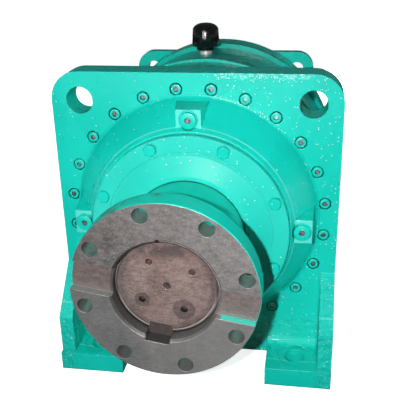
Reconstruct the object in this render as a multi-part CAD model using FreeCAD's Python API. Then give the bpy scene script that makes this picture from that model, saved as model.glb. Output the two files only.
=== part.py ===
import FreeCAD, Part
import math
import os
from FreeCAD import Vector

os.makedirs("parts", exist_ok=True)

# A foot-mounted planetary gear unit with a coupling flange on its output shaft.
# All sizes are in millimetres. Stations along the shaft are Y values measured from the front face
# of the mounting plate; they grow towards the input end. Radii are measured from the shaft axis.
# Angles run anticlockwise from +X for someone who looks at the coupling, degrees unless said.

# Clearances, and how far a blind hole is deeper than its screw and a cut runs past a face
seat_gap = 0.05
running_gap = 0.08
rolling_gap = 0.3
thread_gap = 0.1
air_gap = 1.0
end_play = 0.5
bolt_gap = 0.5
hole_spare = 3.0
cut_past = 1.0

# Gear train
tooth_module = 5.0
sun_teeth = 18
planet_teeth = 27
planet_count = 3
first_planet = 90.0
pressure_angle = math.radians(20)
tip_height = 1.0 * tooth_module
root_depth = 1.25 * tooth_module
flank_setback = 0.25
face_width = 140.0
sun_overhang = 3.0
sun_room = 3.0
sun_core_step = 3.0
sun_run_out = 5.0
rest_turn = 9.1

# Planet carrier
carrier_clearance = 7.0
carrier_front_disc = 42.0
carrier_rear_disc = 40.0
pin_r = 25.0
bush_wall = 7.0
washer_thick = 3.0
washer_width = 20.0
clip_thick = 3.0
clip_depth = 1.5
clip_rise = 5.0
pin_overhang = 7.0
post_r = 28.0
post_circle_r = 138.0
post_bolt_r = 8.0
post_bolt_grip = 28.0

# Output shaft and its bearing
shaft_r = 78.0
shaft_chamfer = 4.0
shaft_recess = 22.0
bearing_seat_r = 90.0
front_bearing_ring = 14.0
front_bearing_space = 22.0
front_bearing_width = 46.0
front_roller_count = 18
race_lip_share = 0.12
race_lip_rise = 0.4
shoulder_step = 18.0
shoulder_length = 24.0
shoulder_cone = 8.0
neck_r = 80.0
neck_length = 66.0
clip_margin = 6.0
pilot_r = 20.0
pilot_bush_wall = 8.0
pilot_length = 28.0
pilot_end_room = 4.0
pilot_bush_short = 2.0
end_hole_circle_r = 45.0
end_hole_r = 5.1
end_hole_depth = 30.0
end_hole_turn = 2.9
centre_hole_r = 6.0
centre_hole_depth = 10.0
output_key_width = 36.0
output_key_height = 20.0
output_key_sunk = 14.0
output_key_length = 160.0

# Coupling flange
coupling_length = 229.0
coupling_r = 138.5
coupling_flange = 38.0
coupling_hub_wall = 18.0
coupling_chamfer = 4.0
coupling_edge = 1.0
coupling_bolt_circle_r = 121.6
coupling_bolt_hole_r = 11.75
coupling_bolt_count = 8
cross_slot_width = 46.0
cross_slot_depth = 12.5
hub_mark_width = 5.0
hub_mark_angle = 103.0

# Mounting plate and feet, one casting with the nose
axis_height = 294.0
plate_margin = 3.0
plate_top = 254.0
plate_lift = 13.0
plate_thick = 53.0
plate_corner = 50.0
plate_hole_r = 23.5
plate_screw_margin = 19.0
foot_thick = 35.0
foot_width = 118.0
foot_reach = 86.0
foot_hole_r = 18.5
foot_hole_inset = 66.0
foot_hole_back = 46.0
foot_face_r = 31.0
foot_face_depth = 1.5
gusset_thick = 25.0
gusset_top = 105.0
gusset_bend = 188.0
gusset_setback = 10.0
cast_fillet = 16.0

# Nose with its oil bosses
nose_length = 64.0
nose_front_r = 172.0
nose_margin = 13.0
nose_stop_step = 12.0
nose_stop_length = 12.0
nose_inner_slope = 10.0
boss_r = 189.0
boss_reach = 56.0
boss_width = 42.0
boss_height = 34.0
boss_flare = 8.0
boss_draft = 3.0
plug_flange_r = 14.0
plug_flange_thick = 5.0
plug_thread_r = 10.0
plug_thread_length = 16.0
plug_socket = 10.0
plug_spot_r = 16.5
plug_washer_r = 16.0
plug_passage_r = 5.0
plug_washer_thick = 1.5

# Bearing cover
cover_thick = 14.0
cover_margin = 3.0
cover_spigot = 14.0
cover_groove_r = 141.0
cover_groove = 0.8
cover_edge = 1.5
cover_dome_r = 136.0
cover_boss_r = 104.0
cover_boss_height = 12.0
cover_bolt_circle_r = 156.0
cover_bolt_count = 8
seal_width = 14.0
seal_ring = 18.0
seal_case_wall = 5.0
seal_sunk = 2.0
cover_spigot_lip = 6.0

# Screws: shank radius, head radius or width over the flats, head height
casing_screw_r = 6.0
casing_screw_head_r = 9.0
casing_screw_head = 12.0
casing_screw_bore_r = 11.0
casing_screw_count = 24
casing_screw_proud = 1.0
casing_screw_grip = 24.0
rear_screw_count = 12
cover_bolt_r = 6.0
cover_bolt_flats = 19.0
cover_bolt_head = 8.0
cover_bolt_grip = 24.0
support_bolt_r = 8.0
support_bolt_flats = 24.0
support_bolt_head = 10.0
support_bolt_grip = 26.0
support_bolt_count = 8
support_bolt_circle_r = 150.0
input_bolt_r = 5.0
input_bolt_flats = 16.0
input_bolt_head = 7.0
input_bolt_grip = 20.0
input_bolt_count = 6
input_bolt_circle_r = 84.0

# Gear casing: the drum with its flanges
drum_wall = 48.75
barrel_step = 12.0
barrel_length = 80.0
collar_step = 17.0
collar_width = 17.0
rear_flange_step = 10.0
rear_flange_width = 31.0
casing_clearance = 4.0

# Breather
breather_y = 285.0
breather_x = -22.0
breather_thread_r = 7.0
breather_drill_r = 3.5
breather_depth = 22.0
breather_spot_r = 15.0
breather_spot_depth = 2.0
breather_washer_r = 13.0
breather_washer_thick = 1.5
breather_collar_r = 11.5
breather_collar_thick = 6.0
breather_neck_r = 8.5
breather_neck = 12.0
breather_gap = 2.5
breather_base_r = 19.0
breather_base_height = 7.5
breather_cap_r = 27.5
breather_cap_height = 36.0
breather_dome_r = 11.0
breather_dome_height = 9.5
breather_edge = 2.0
breather_bulge = 1.5

# Rear cover, rear bearing and rear support
rear_bearing_seat_r = 75.0
rear_bearing_ring = 11.0
rear_bearing_space = 15.5
rear_bearing_width = 35.0
rear_roller_count = 18
rear_hub_step = 6.0
rear_hub_length = 17.0
rear_hub_past = 3.0
rear_boss_wall = 25.5
rear_boss_lead = 5.0
rear_web_lead = 12.0
rear_boss_cone = 10.0
rear_stop_room = 10.0
rear_cover_depth = 34.0
rear_screw_inset = 17.0
rear_neck_r = 104.0
rear_plate_half_width = 197.0
rear_plate_top = 217.0
rear_plate_thick = 22.0
rear_plate_corner = 36.0
rear_plate_hole_r = 14.0
rear_foot_width = 100.0
rear_foot_reach = 90.0
rear_foot_hole_inset = 50.0
rear_foot_hole_back = 44.0

# Input end
input_seat_r = 32.5
input_ring = 8.0
input_space = 11.5
input_bearing_width = 23.0
input_roller_count = 12
input_bearing_spread = 32.0
input_bearing_setback = 8.0
spacer_step = 1.0
input_shoulder_r = 38.0
input_stop_r = 52.0
input_cover_spigot = 7.0
input_cover_thick = 14.0
input_cover_lip = 3.0
input_seal_width = 10.0
input_seal_ring = 12.5
input_shaft_r = 30.0
input_shaft_length = 106.0
input_shaft_chamfer = 2.0
input_step_behind = 2.0
input_key_width = 18.0
input_key_height = 11.0
input_key_sunk = 7.0
input_key_length = 90.0
input_key_from_end = 8.0

# Gear sizes worked out from the tooth counts
ring_teeth = sun_teeth + 2 * planet_teeth
sun_pitch_r = tooth_module * sun_teeth / 2
planet_pitch_r = tooth_module * planet_teeth / 2
ring_pitch_r = tooth_module * ring_teeth / 2
planet_circle_r = sun_pitch_r + planet_pitch_r
ring_tip_r = ring_pitch_r - tip_height
ring_root_r = ring_pitch_r + root_depth
sun_tip_r = sun_pitch_r + tip_height
bush_r = pin_r + bush_wall
carrier_r = ring_tip_r - carrier_clearance

# Stations along the shaft, front to back
nose_front = -nose_length
bearing_front = nose_front + cover_spigot
bearing_back = bearing_front + front_bearing_width
shoulder_back = bearing_back + shoulder_length
shoulder_y = bearing_front - clip_margin
coupling_face = shoulder_y - coupling_length
coupling_back = coupling_face + coupling_flange
shaft_end = coupling_face + shaft_recess
cover_front = nose_front - cover_thick
cover_boss_front = cover_front - cover_boss_height
seal_back = nose_front + seal_sunk
seal_front = seal_back - seal_width
disc_front = bearing_back + neck_length
disc_back = disc_front + carrier_front_disc
gear_front = disc_back + washer_thick + end_play
gear_back = gear_front + face_width
rear_disc_front = gear_back + washer_thick + end_play
rear_disc_back = rear_disc_front + carrier_rear_disc
rear_bearing_front = rear_disc_back + rear_hub_length
rear_bearing_back = rear_bearing_front + rear_bearing_width
casing_front = plate_thick
collar_front = casing_front + barrel_length
collar_back = collar_front + collar_width
casing_back = rear_bearing_back + rear_cover_depth
rear_flange_front = casing_back - rear_flange_width
rear_cover_back = casing_back + rear_flange_width
rear_plate_back = rear_cover_back + rear_plate_thick
input_bearing_front = casing_back + input_bearing_setback
input_bearing_2_front = input_bearing_front + input_bearing_width + input_bearing_spread
input_bearing_end = input_bearing_2_front + input_bearing_width
neck_end = input_bearing_end + input_cover_spigot
input_cover_back = neck_end + input_cover_thick
input_step = input_cover_back + input_step_behind
input_end = input_step + input_shaft_length
middle_y = (coupling_face + input_end) / 2

# Radii that follow from what sits inside them
front_race_r = bearing_seat_r + front_bearing_ring
front_outer_race_r = front_race_r + front_bearing_space
front_bearing_r = front_outer_race_r + front_bearing_ring
shoulder_r = bearing_seat_r + shoulder_step
nose_stop_r = front_bearing_r - nose_stop_step
hub_r = shaft_r + coupling_hub_wall
seal_r = hub_r + seal_ring
cover_r = nose_front_r - cover_margin
casing_bore_r = ring_root_r + casing_clearance
drum_r = ring_root_r + drum_wall
barrel_r = drum_r + barrel_step
plate_half_width = barrel_r + plate_margin
collar_r = drum_r + collar_step
rear_flange_r = drum_r + rear_flange_step
casing_screw_circle_r = barrel_r - plate_screw_margin
nose_base_r = casing_screw_circle_r - nose_margin
rear_screw_circle_r = drum_r - rear_screw_inset
rear_race_r = rear_bearing_seat_r + rear_bearing_ring
rear_outer_race_r = rear_race_r + rear_bearing_space
rear_bearing_r = rear_outer_race_r + rear_bearing_ring
rear_boss_r = rear_bearing_r + rear_boss_wall
input_race_r = input_seat_r + input_ring
input_outer_race_r = input_race_r + input_space
input_bearing_r = input_outer_race_r + input_ring
input_seal_r = input_seat_r + input_seal_ring
breather_seat = drum_r - breather_spot_depth
breather_foot = breather_seat + breather_washer_thick
planet_angles = [first_planet + 360 * k / planet_count for k in range(planet_count)]
post_angles = [angle + 180 / planet_count for angle in planet_angles]


def polar(radius, angle):
    """X and Z of a point on a circle round the shaft axis."""
    return radius * math.cos(math.radians(angle)), radius * math.sin(math.radians(angle))


def ring_of_angles(count, first):
    return [first + 360 * k / count for k in range(count)]


def half_step_angles(count):
    """Even angles with the first half a step above +X."""
    return ring_of_angles(count, 180 / count)


def rod(radius, front, back, x=0.0, z=0.0):
    """A round bar along the shaft direction."""
    return Part.makeCylinder(radius, back - front, Vector(x, front, z), Vector(0, 1, 0))


def turned(profile):
    """A turned body: the closed profile of (station, radius) points spun round the shaft axis.

    A point marked "arc" is where the edge from the point before it to the point after it bulges to."""
    edges = []
    points = [Vector(0, p[0], p[1]) for p in profile]
    bulges = [len(p) == 3 for p in profile]
    corners = [i for i in range(len(profile)) if not bulges[i]]
    for i, start in enumerate(corners):
        end = corners[(i + 1) % len(corners)]
        between = (start + 1) % len(profile)
        if bulges[between]:
            edges.append(Part.Arc(points[start], points[between], points[end]).toShape())
        else:
            edges.append(Part.LineSegment(points[start], points[end]).toShape())
    return Part.Face(Part.Wire(edges)).revolve(Vector(0, 0, 0), Vector(0, 1, 0), 360)


def tube(inner_r, outer_r, front, back):
    return turned([(front, inner_r), (front, outer_r), (back, outer_r), (back, inner_r)])


def spun(shape, angle):
    """A copy turned round the shaft axis, anticlockwise for someone who looks at the coupling."""
    copy = shape.copy()
    copy.rotate(Vector(0, 0, 0), Vector(0, 1, 0), -angle)
    return copy


def at_rest(shape):
    """The shafts and gears stand turned a little clockwise, as the coupling does at rest."""
    return spun(shape, -rest_turn)


def bar_at(radius, front, back, circle_r, angles):
    """Round bars or holes on a circle round the shaft axis, as one group."""
    return Part.Compound([rod(radius, front, back, *polar(circle_r, angle)) for angle in angles])


def hexagon(flats, front, back, x=0.0, z=0.0):
    corner_r = flats / math.sqrt(3)
    corners = []
    for k in range(7):
        dx, dz = polar(corner_r, 60 * k)
        corners.append(Vector(x + dx, front, z + dz))
    return Part.Face(Part.makePolygon(corners)).extrude(Vector(0, back - front, 0))


def involute(angle):
    return math.tan(angle) - angle


def toothed_bar(teeth, root_r, tip_r, setback, front, back, flank_steps=2, middle=90.0):
    """A gear blank with involute teeth, one of them centred at the angle `middle`.

    `setback` is how far each flank stands back from the exact involute at the pitch circle."""
    pitch_r = tooth_module * teeth / 2
    base_r = pitch_r * math.cos(pressure_angle)
    flank_start = max(root_r, base_r)
    flank = [flank_start + (tip_r - flank_start) * k / flank_steps for k in range(flank_steps + 1)]
    if root_r < base_r:
        flank = [root_r] + flank

    def half_tooth(radius):
        pressure = math.acos(base_r / max(radius, base_r))
        full = math.pi / (2 * teeth) + involute(pressure_angle) - involute(pressure)
        return math.degrees(full - setback / pitch_r)

    points = []
    for tooth in range(teeth):
        centre = middle + 360 * tooth / teeth
        for radius in flank:
            points.append(polar(radius, centre - half_tooth(radius)))
        for radius in reversed(flank):
            points.append(polar(radius, centre + half_tooth(radius)))
    outline = [Vector(x, front, z) for x, z in points]
    return Part.Face(Part.makePolygon(outline + outline[:1])).extrude(Vector(0, back - front, 0))


def box(x0, x1, y0, y1, z0, z1):
    return Part.makeBox(x1 - x0, y1 - y0, z1 - z0, Vector(x0, y0, z0))


def plate_blank(half_width, top, bottom, corner, front, back):
    """A flat plate with its two upper corners rounded."""
    side = corner * (1 - math.sqrt(0.5))
    outline = [
        Part.LineSegment(Vector(half_width - corner, front, top), Vector(corner - half_width, front, top)),
        Part.Arc(Vector(corner - half_width, front, top), Vector(side - half_width, front, top - side),
                 Vector(-half_width, front, top - corner)),
        Part.LineSegment(Vector(-half_width, front, top - corner), Vector(-half_width, front, bottom)),
        Part.LineSegment(Vector(-half_width, front, bottom), Vector(half_width, front, bottom)),
        Part.LineSegment(Vector(half_width, front, bottom), Vector(half_width, front, top - corner)),
        Part.Arc(Vector(half_width, front, top - corner), Vector(half_width - side, front, top - side),
                 Vector(half_width - corner, front, top)),
    ]
    wire = Part.Wire([piece.toShape() for piece in outline])
    return Part.Face(wire).extrude(Vector(0, back - front, 0))


def foot(half_width, width, reach, thick, hole_inset, hole_back):
    """One foot in front of a plate face at Y = 0, on the +X side: pad, gusset, hole and spot face."""
    floor = -axis_height
    pad_top = floor + foot_thick
    pad = box(half_width - width, half_width, -reach, thick, floor, pad_top)
    profile = [(0, -gusset_top), (gusset_setback - reach, -gusset_bend),
               (gusset_setback - reach, pad_top), (0, pad_top)]
    corners = [Vector(half_width - gusset_thick, y, z) for y, z in profile]
    gusset = Part.Face(Part.makePolygon(corners + corners[:1])).extrude(Vector(gusset_thick, 0, 0))
    fillet_block = box(half_width - width, half_width - gusset_thick, -cast_fillet, 0,
                       pad_top, pad_top + cast_fillet)
    fillet_cut = Part.makeCylinder(cast_fillet, width, Vector(half_width - width, -cast_fillet,
                                   pad_top + cast_fillet), Vector(1, 0, 0))
    hole_x = half_width - hole_inset
    hole_y = hole_back - reach
    hole = Part.makeCylinder(foot_hole_r, foot_thick + cut_past, Vector(hole_x, hole_y, floor - cut_past))
    face = Part.makeCylinder(foot_face_r, cast_fillet, Vector(hole_x, hole_y, pad_top - foot_face_depth))
    return pad.fuse(gusset).fuse(fillet_block.cut(fillet_cut)), hole.fuse(face)


def footed_plate(half_width, top, thick, corner, hole_r, foot_size):
    """A square plate on two feet that reach forwards from its face at Y = 0."""
    body = plate_blank(half_width, top, plate_lift - axis_height, corner, 0, thick)
    holes = [rod(hole_r, -cut_past, thick + cut_past, side * (half_width - corner), top - corner)
             for side in (-1, 1)]
    solid, hole = foot(half_width, *foot_size)
    body = body.fuse([solid, solid.mirror(Vector(0, 0, 0), Vector(1, 0, 0))])
    return body.cut(holes + [hole, hole.mirror(Vector(0, 0, 0), Vector(1, 0, 0))])


def oil_boss():
    """A drafted rectangular boss on top of the nose, for one oil plug."""
    low = boss_r - boss_height / 2
    high = boss_r + boss_height / 2
    faces = []
    for y, half, bottom, peak in ((-boss_reach, boss_width / 2, low, high),
                                  (0, boss_width / 2 + boss_flare, low - boss_flare, high + boss_draft)):
        corners = [Vector(-half, y, bottom), Vector(half, y, bottom), Vector(half, y, peak),
                   Vector(-half, y, peak)]
        faces.append(Part.makePolygon(corners + corners[:1]))
    return Part.makeLoft(faces, True, True)


def oil_plug():
    """A plug with a hexagon socket, screwed into the top boss."""
    seat = -boss_reach - plug_washer_thick
    flange = rod(plug_flange_r, seat - plug_flange_thick, seat, 0, boss_r)
    thread = rod(plug_thread_r, seat, seat + plug_thread_length, 0, boss_r)
    socket = hexagon(plug_socket, seat - plug_flange_thick, seat + plug_flange_thick / 2, 0, boss_r)
    return flange.fuse(thread).cut(socket)


def plug_washer():
    front = -boss_reach - plug_washer_thick
    washer = rod(plug_washer_r, front, -boss_reach, 0, boss_r)
    return washer.cut(rod(plug_thread_r + thread_gap, front - cut_past, cut_past - boss_reach, 0, boss_r))


plug_angles = [0, 90, 180, 270]
casing_screw_angles = half_step_angles(casing_screw_count)
cover_bolt_angles = half_step_angles(cover_bolt_count)
rear_screw_angles = half_step_angles(rear_screw_count)
support_bolt_angles = half_step_angles(support_bolt_count)
input_bolt_angles = half_step_angles(input_bolt_count)
screw_floor = casing_screw_head - casing_screw_proud


def front_housing():
    """The casting at the output end: plate, feet, nose and oil bosses."""
    feet = (foot_width, foot_reach, plate_thick, foot_hole_inset, foot_hole_back)
    body = footed_plate(plate_half_width, plate_top, plate_thick, plate_corner, plate_hole_r, feet)
    nose = turned([(nose_front, 0), (nose_front, nose_front_r), (0, nose_base_r), (cut_past, nose_base_r),
                   (cut_past, 0)])
    bosses = [spun(oil_boss(), angle) for angle in plug_angles]
    stop_back = bearing_back + nose_stop_length
    wide_from = stop_back + nose_inner_slope
    inside = turned([
        (nose_front - cut_past, 0), (nose_front - cut_past, front_bearing_r),
        (bearing_back, front_bearing_r), (bearing_back, nose_stop_r), (stop_back, nose_stop_r),
        (wide_from, casing_bore_r), (plate_thick + cut_past, casing_bore_r), (plate_thick + cut_past, 0),
    ])
    plug_hole = rod(plug_thread_r + thread_gap, -boss_reach - cut_past,
                    plug_thread_length - boss_reach + hole_spare, 0, boss_r)
    plug_spot = rod(plug_spot_r, nose_front - cut_past, -boss_reach, 0, boss_r)
    plug_passage = rod(plug_passage_r, -boss_reach, wide_from, 0, boss_r - plug_passage_r)
    plug_cut = plug_hole.fuse([plug_spot, plug_passage])
    cuts = [inside] + [spun(plug_cut, angle) for angle in plug_angles]
    cuts.append(bar_at(casing_screw_bore_r, -cut_past, screw_floor, casing_screw_circle_r,
                       casing_screw_angles))
    cuts.append(bar_at(casing_screw_r + bolt_gap, 0, plate_thick + cut_past, casing_screw_circle_r,
                       casing_screw_angles))
    cuts.append(bar_at(cover_bolt_r + thread_gap, nose_front - cut_past,
                       nose_front + cover_bolt_grip + hole_spare, cover_bolt_circle_r, cover_bolt_angles))
    return body.fuse([nose] + bosses).cut(cuts)


def socket_screws(head_r, shank_r, seat, grip, circle_r, angles, inward):
    """Socket-head screws round the shaft. `inward` is 1 if they point along +Y, and -1 if along -Y."""
    screws = []
    for angle in angles:
        x, z = polar(circle_r, angle)
        head_end = seat - inward * casing_screw_head
        shank_end = seat + inward * grip
        head = rod(head_r, min(seat, head_end), max(seat, head_end), x, z)
        shank = rod(shank_r, min(seat, shank_end), max(seat, shank_end), x, z)
        screws.append(head.fuse(shank))
    return Part.Compound(screws)


def hex_bolts(flats, shank_r, head, seat, grip, circle_r, angles, inward):
    """Hexagon-head bolts round the shaft, with one flat facing the axis."""
    bolts = []
    for angle in angles:
        head_end = seat - inward * head
        shank_end = seat + inward * grip
        bolt = hexagon(flats, min(seat, head_end), max(seat, head_end), circle_r, 0)
        bolt = bolt.fuse(rod(shank_r, min(seat, shank_end), max(seat, shank_end), circle_r, 0))
        bolts.append(spun(bolt, angle))
    return Part.Compound(bolts)


def casing_screws():
    return socket_screws(casing_screw_head_r, casing_screw_r, screw_floor,
                         plate_thick - screw_floor + casing_screw_grip, casing_screw_circle_r,
                         casing_screw_angles, 1)


def gear_casing():
    """The drum: flanges, collar and the ring gear's teeth cut inside it."""
    tooth_front = gear_front - sun_overhang
    tooth_back = gear_back + sun_overhang
    relief_r = ring_tip_r - cut_past
    drum = turned([
        (casing_front, casing_bore_r), (casing_front, barrel_r), (collar_front, barrel_r),
        (collar_front, collar_r), (collar_back, collar_r), (collar_back, drum_r),
        (rear_flange_front, drum_r), (rear_flange_front, rear_flange_r), (casing_back, rear_flange_r),
        (casing_back, casing_bore_r), (tooth_back, casing_bore_r), (tooth_back, relief_r),
        (tooth_front, relief_r), (tooth_front, casing_bore_r),
    ])
    spaces = toothed_bar(ring_teeth, ring_tip_r, ring_root_r, -flank_setback, tooth_front - cut_past,
                         tooth_back + cut_past)
    deep = casing_screw_grip + hole_spare
    front_holes = bar_at(casing_screw_r + thread_gap, casing_front - cut_past, casing_front + deep,
                         casing_screw_circle_r, casing_screw_angles)
    rear_holes = bar_at(casing_screw_r + thread_gap, casing_back - deep, casing_back + cut_past,
                        rear_screw_circle_r, rear_screw_angles)
    breather_hole = upright(breather_thread_r + thread_gap,
                            breather_seat - breather_depth - hole_spare, drum_r)
    spot = upright(breather_spot_r, breather_seat, drum_r + cut_past)
    return drum.cut([at_rest(spaces), front_holes, rear_holes, breather_hole, spot])


def upright(radius, low, high):
    """A round bar standing on the drum at the breather's place, between two heights above the shaft."""
    return Part.makeCylinder(radius, high - low, Vector(breather_x, breather_y, low))


def breather_washer():
    washer = upright(breather_washer_r, breather_seat, breather_foot)
    return washer.cut(upright(breather_thread_r + thread_gap, breather_seat - cut_past,
                              breather_foot + cut_past))


def breather_stem():
    """Thread, collar and neck of the breather, drilled through."""
    thread = upright(breather_thread_r, breather_seat - breather_depth, breather_foot)
    collar = upright(breather_collar_r, breather_foot, breather_foot + breather_collar_thick)
    neck_top = breather_foot + breather_collar_thick + breather_neck
    neck = upright(breather_neck_r, breather_foot, neck_top)
    drill = upright(breather_drill_r, breather_seat - breather_depth - cut_past, neck_top + cut_past)
    return thread.fuse([collar, neck]).cut(drill)


def breather_cap():
    """The cap: a narrow base, a round body and a shallow dome, hollow where it fits over the neck."""
    bottom = breather_foot + breather_collar_thick + breather_gap
    body = bottom + breather_base_height
    shoulder = body + breather_cap_height
    top = shoulder + breather_dome_height
    socket_r = breather_neck_r + seat_gap
    socket_top = bottom + breather_neck - breather_gap + end_play
    rim_r = breather_cap_r - breather_edge / 2
    bulge = ((rim_r + breather_dome_r) / 2 + breather_bulge,
             shoulder + breather_dome_height / 2 + breather_bulge)
    points = [(socket_r, bottom), (breather_base_r, bottom), (breather_base_r, body - breather_edge / 2),
              (breather_cap_r - breather_edge, body), (breather_cap_r, body + breather_edge),
              (breather_cap_r, shoulder - breather_edge), (rim_r, shoulder), bulge,
              (breather_dome_r, top), (0, top), (0, socket_top), (socket_r, socket_top)]
    corners = [Vector(radius, 0, height) for radius, height in points]
    edges = [Part.makePolygon(corners[:7]), Part.Arc(*corners[6:9]).toShape(),
             Part.makePolygon(corners[8:] + corners[:1])]
    cap = Part.Face(Part.Wire([edge for wire in edges for edge in wire.Edges]))
    cap = cap.revolve(Vector(0, 0, 0), Vector(0, 0, 1), 360)
    cap.translate(Vector(breather_x, breather_y, 0))
    return cap


def bearing_cover():
    """The cover that closes the nose and carries the output seal."""
    bore_r = hub_r + air_gap
    spigot_r = front_bearing_r - seat_gap
    lip_r = seal_r - cover_spigot_lip
    bulge = (cover_front - cover_boss_height / 2, (cover_dome_r + cover_boss_r) / 2 - cover_edge)
    body = turned([
        (bearing_front, lip_r), (bearing_front, spigot_r), (nose_front, spigot_r), (nose_front, cover_r),
        (cover_front + cover_edge, cover_r), (cover_front, cover_r - cover_edge),
        (cover_front, cover_groove_r + cover_groove), (cover_front + cover_groove, cover_groove_r),
        (cover_front, cover_groove_r - cover_groove), (cover_front, cover_dome_r), (*bulge, "arc"),
        (cover_boss_front, cover_boss_r), (cover_boss_front, bore_r), (seal_front, bore_r),
        (seal_front, seal_r + seat_gap), (seal_back, seal_r + seat_gap), (seal_back, lip_r),
    ])
    return body.cut(bar_at(cover_bolt_r + bolt_gap, cover_front - cut_past, nose_front + cut_past,
                           cover_bolt_circle_r, cover_bolt_angles))


def lip_seal(inner_r, outer_r, front, back):
    """A shaft seal: an outer case ring with a lip that touches the shaft on its front half."""
    middle = (front + back) / 2
    case_r = outer_r - seal_case_wall
    return turned([(front, inner_r + running_gap), (front, outer_r), (back, outer_r), (back, case_r),
                   (middle, case_r), (middle, inner_r + running_gap)])


def cover_bolts():
    return hex_bolts(cover_bolt_flats, cover_bolt_r, cover_bolt_head, cover_front,
                     cover_thick + cover_bolt_grip, cover_bolt_circle_r, cover_bolt_angles, 1)


def outer_race(race_r, outer_r, front, back):
    """Outer bearing ring with a lip at each end that keeps the rollers in."""
    lip = (back - front) * race_lip_share
    lip_r = race_r - (outer_r - race_r) * race_lip_rise
    return turned([(front, lip_r), (front, outer_r), (back, outer_r), (back, lip_r), (back - lip, lip_r),
                   (back - lip, race_r), (front + lip, race_r), (front + lip, lip_r)])


def rollers(inner_r, outer_r, front, back, count):
    lip = (back - front) * race_lip_share + rolling_gap
    return bar_at((outer_r - inner_r) / 2 - rolling_gap, front + lip, back - lip, (inner_r + outer_r) / 2,
                  ring_of_angles(count, 0))


def key_bar(width, bottom_r, height, front, back):
    """A parallel key standing at the top of the shaft."""
    return box(-width / 2, width / 2, front, back, bottom_r, bottom_r + height)


def output_key():
    key = key_bar(output_key_width, shaft_r - output_key_sunk, output_key_height,
                  shaft_end, shaft_end + output_key_length)
    return spun(key, 180)


def output_keyway(gap):
    """The space for the output key, wider and taller than the key by the gap."""
    way = key_bar(output_key_width + 2 * gap, shaft_r - output_key_sunk, output_key_height + gap,
                  coupling_face - cut_past, shaft_end + output_key_length)
    return spun(way, 180)


def output_shaft():
    """Output shaft, forged in one with the carrier's front disc and its three posts."""
    clip_front = bearing_front - clip_thick
    groove_r = bearing_seat_r - 2 * clip_depth
    pilot_wall_r = pilot_r + pilot_bush_wall
    body = turned([
        (shaft_end, 0), (shaft_end, shaft_r - shaft_chamfer), (shaft_end + shaft_chamfer, shaft_r),
        (shoulder_y, shaft_r), (shoulder_y, bearing_seat_r), (clip_front, bearing_seat_r),
        (clip_front, groove_r), (bearing_front, groove_r), (bearing_front, bearing_seat_r),
        (bearing_back, bearing_seat_r), (bearing_back, shoulder_r), (shoulder_back, shoulder_r),
        (shoulder_back + shoulder_cone, neck_r), (disc_front, neck_r), (disc_front, carrier_r),
        (disc_back, carrier_r), (disc_back, pilot_wall_r), (disc_back - pilot_length, pilot_wall_r),
        (disc_back - pilot_length, 0),
    ])
    posts = [rod(post_r, disc_back - cut_past, rear_disc_front, *polar(post_circle_r, angle))
             for angle in post_angles]
    keyway = key_bar(output_key_width, shaft_r - output_key_sunk, output_key_height,
                     shaft_end - cut_past, shaft_end + output_key_length)
    centre = Part.makeCone(centre_hole_r, 0, centre_hole_depth, Vector(0, shaft_end, 0), Vector(0, 1, 0))
    cuts = [spun(keyway, 180), centre]
    cuts.append(bar_at(pin_r + seat_gap, disc_front - cut_past, disc_back + cut_past, planet_circle_r,
                       planet_angles))
    cuts.append(bar_at(post_bolt_r + thread_gap, rear_disc_front - post_bolt_grip - hole_spare,
                       rear_disc_front + cut_past, post_circle_r, post_angles))
    cuts.append(bar_at(end_hole_r, shaft_end - cut_past, shaft_end + end_hole_depth, end_hole_circle_r,
                       ring_of_angles(4, 45 - end_hole_turn)))
    return at_rest(body.fuse(posts).cut(cuts))


def bearing_clip():
    groove_r = bearing_seat_r - 2 * clip_depth
    return tube(groove_r + seat_gap, bearing_seat_r + clip_rise, bearing_front - clip_thick, bearing_front)


def coupling_flange():
    """The driven half coupling: flange with bolt holes and a cross slot, hub with a keyed bore."""
    bore_r = shaft_r + seat_gap
    body = turned([
        (coupling_face, bore_r + coupling_chamfer), (coupling_face, coupling_r - coupling_edge),
        (coupling_face + coupling_edge, coupling_r), (coupling_back, coupling_r), (coupling_back, hub_r),
        (shoulder_y - coupling_edge, hub_r), (shoulder_y, hub_r - coupling_edge), (shoulder_y, bore_r),
        (coupling_face + coupling_chamfer, bore_r),
    ])
    holes = bar_at(coupling_bolt_hole_r, coupling_face - cut_past, coupling_back + cut_past,
                   coupling_bolt_circle_r, half_step_angles(coupling_bolt_count))
    slot = box(-coupling_r - cut_past, coupling_r + cut_past, coupling_face - cut_past,
               coupling_face + cross_slot_depth, -cross_slot_width / 2, cross_slot_width / 2)
    mark = box(-hub_mark_width / 2, hub_mark_width / 2, coupling_face - cut_past,
               coupling_face + coupling_chamfer, shaft_r - hub_mark_width, shaft_r + coupling_chamfer)
    return at_rest(body.cut([holes, slot, output_keyway(seat_gap), spun(mark, hub_mark_angle - 90)]))


def carrier_rear():
    """The carrier's rear disc with the hub that runs in the rear bearing."""
    bore_r = sun_tip_r + sun_room
    hub_end = rear_bearing_back + rear_hub_past
    step_r = rear_bearing_seat_r + rear_hub_step
    body = turned([
        (rear_disc_front, bore_r), (rear_disc_front, carrier_r), (rear_disc_back, carrier_r),
        (rear_disc_back, step_r), (rear_bearing_front, step_r), (rear_bearing_front, rear_bearing_seat_r),
        (hub_end, rear_bearing_seat_r), (hub_end, bore_r),
    ])
    front = rear_disc_front - cut_past
    back = rear_disc_back + cut_past
    pins = bar_at(pin_r + seat_gap, front, back, planet_circle_r, planet_angles)
    bolts = bar_at(post_bolt_r + bolt_gap, front, back, post_circle_r, post_angles)
    return at_rest(body.cut([pins, bolts]))


def carrier_bolts():
    bolts = hex_bolts(support_bolt_flats, post_bolt_r, support_bolt_head, rear_disc_back,
                      carrier_rear_disc + post_bolt_grip, post_circle_r, post_angles, -1)
    return at_rest(bolts)


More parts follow.
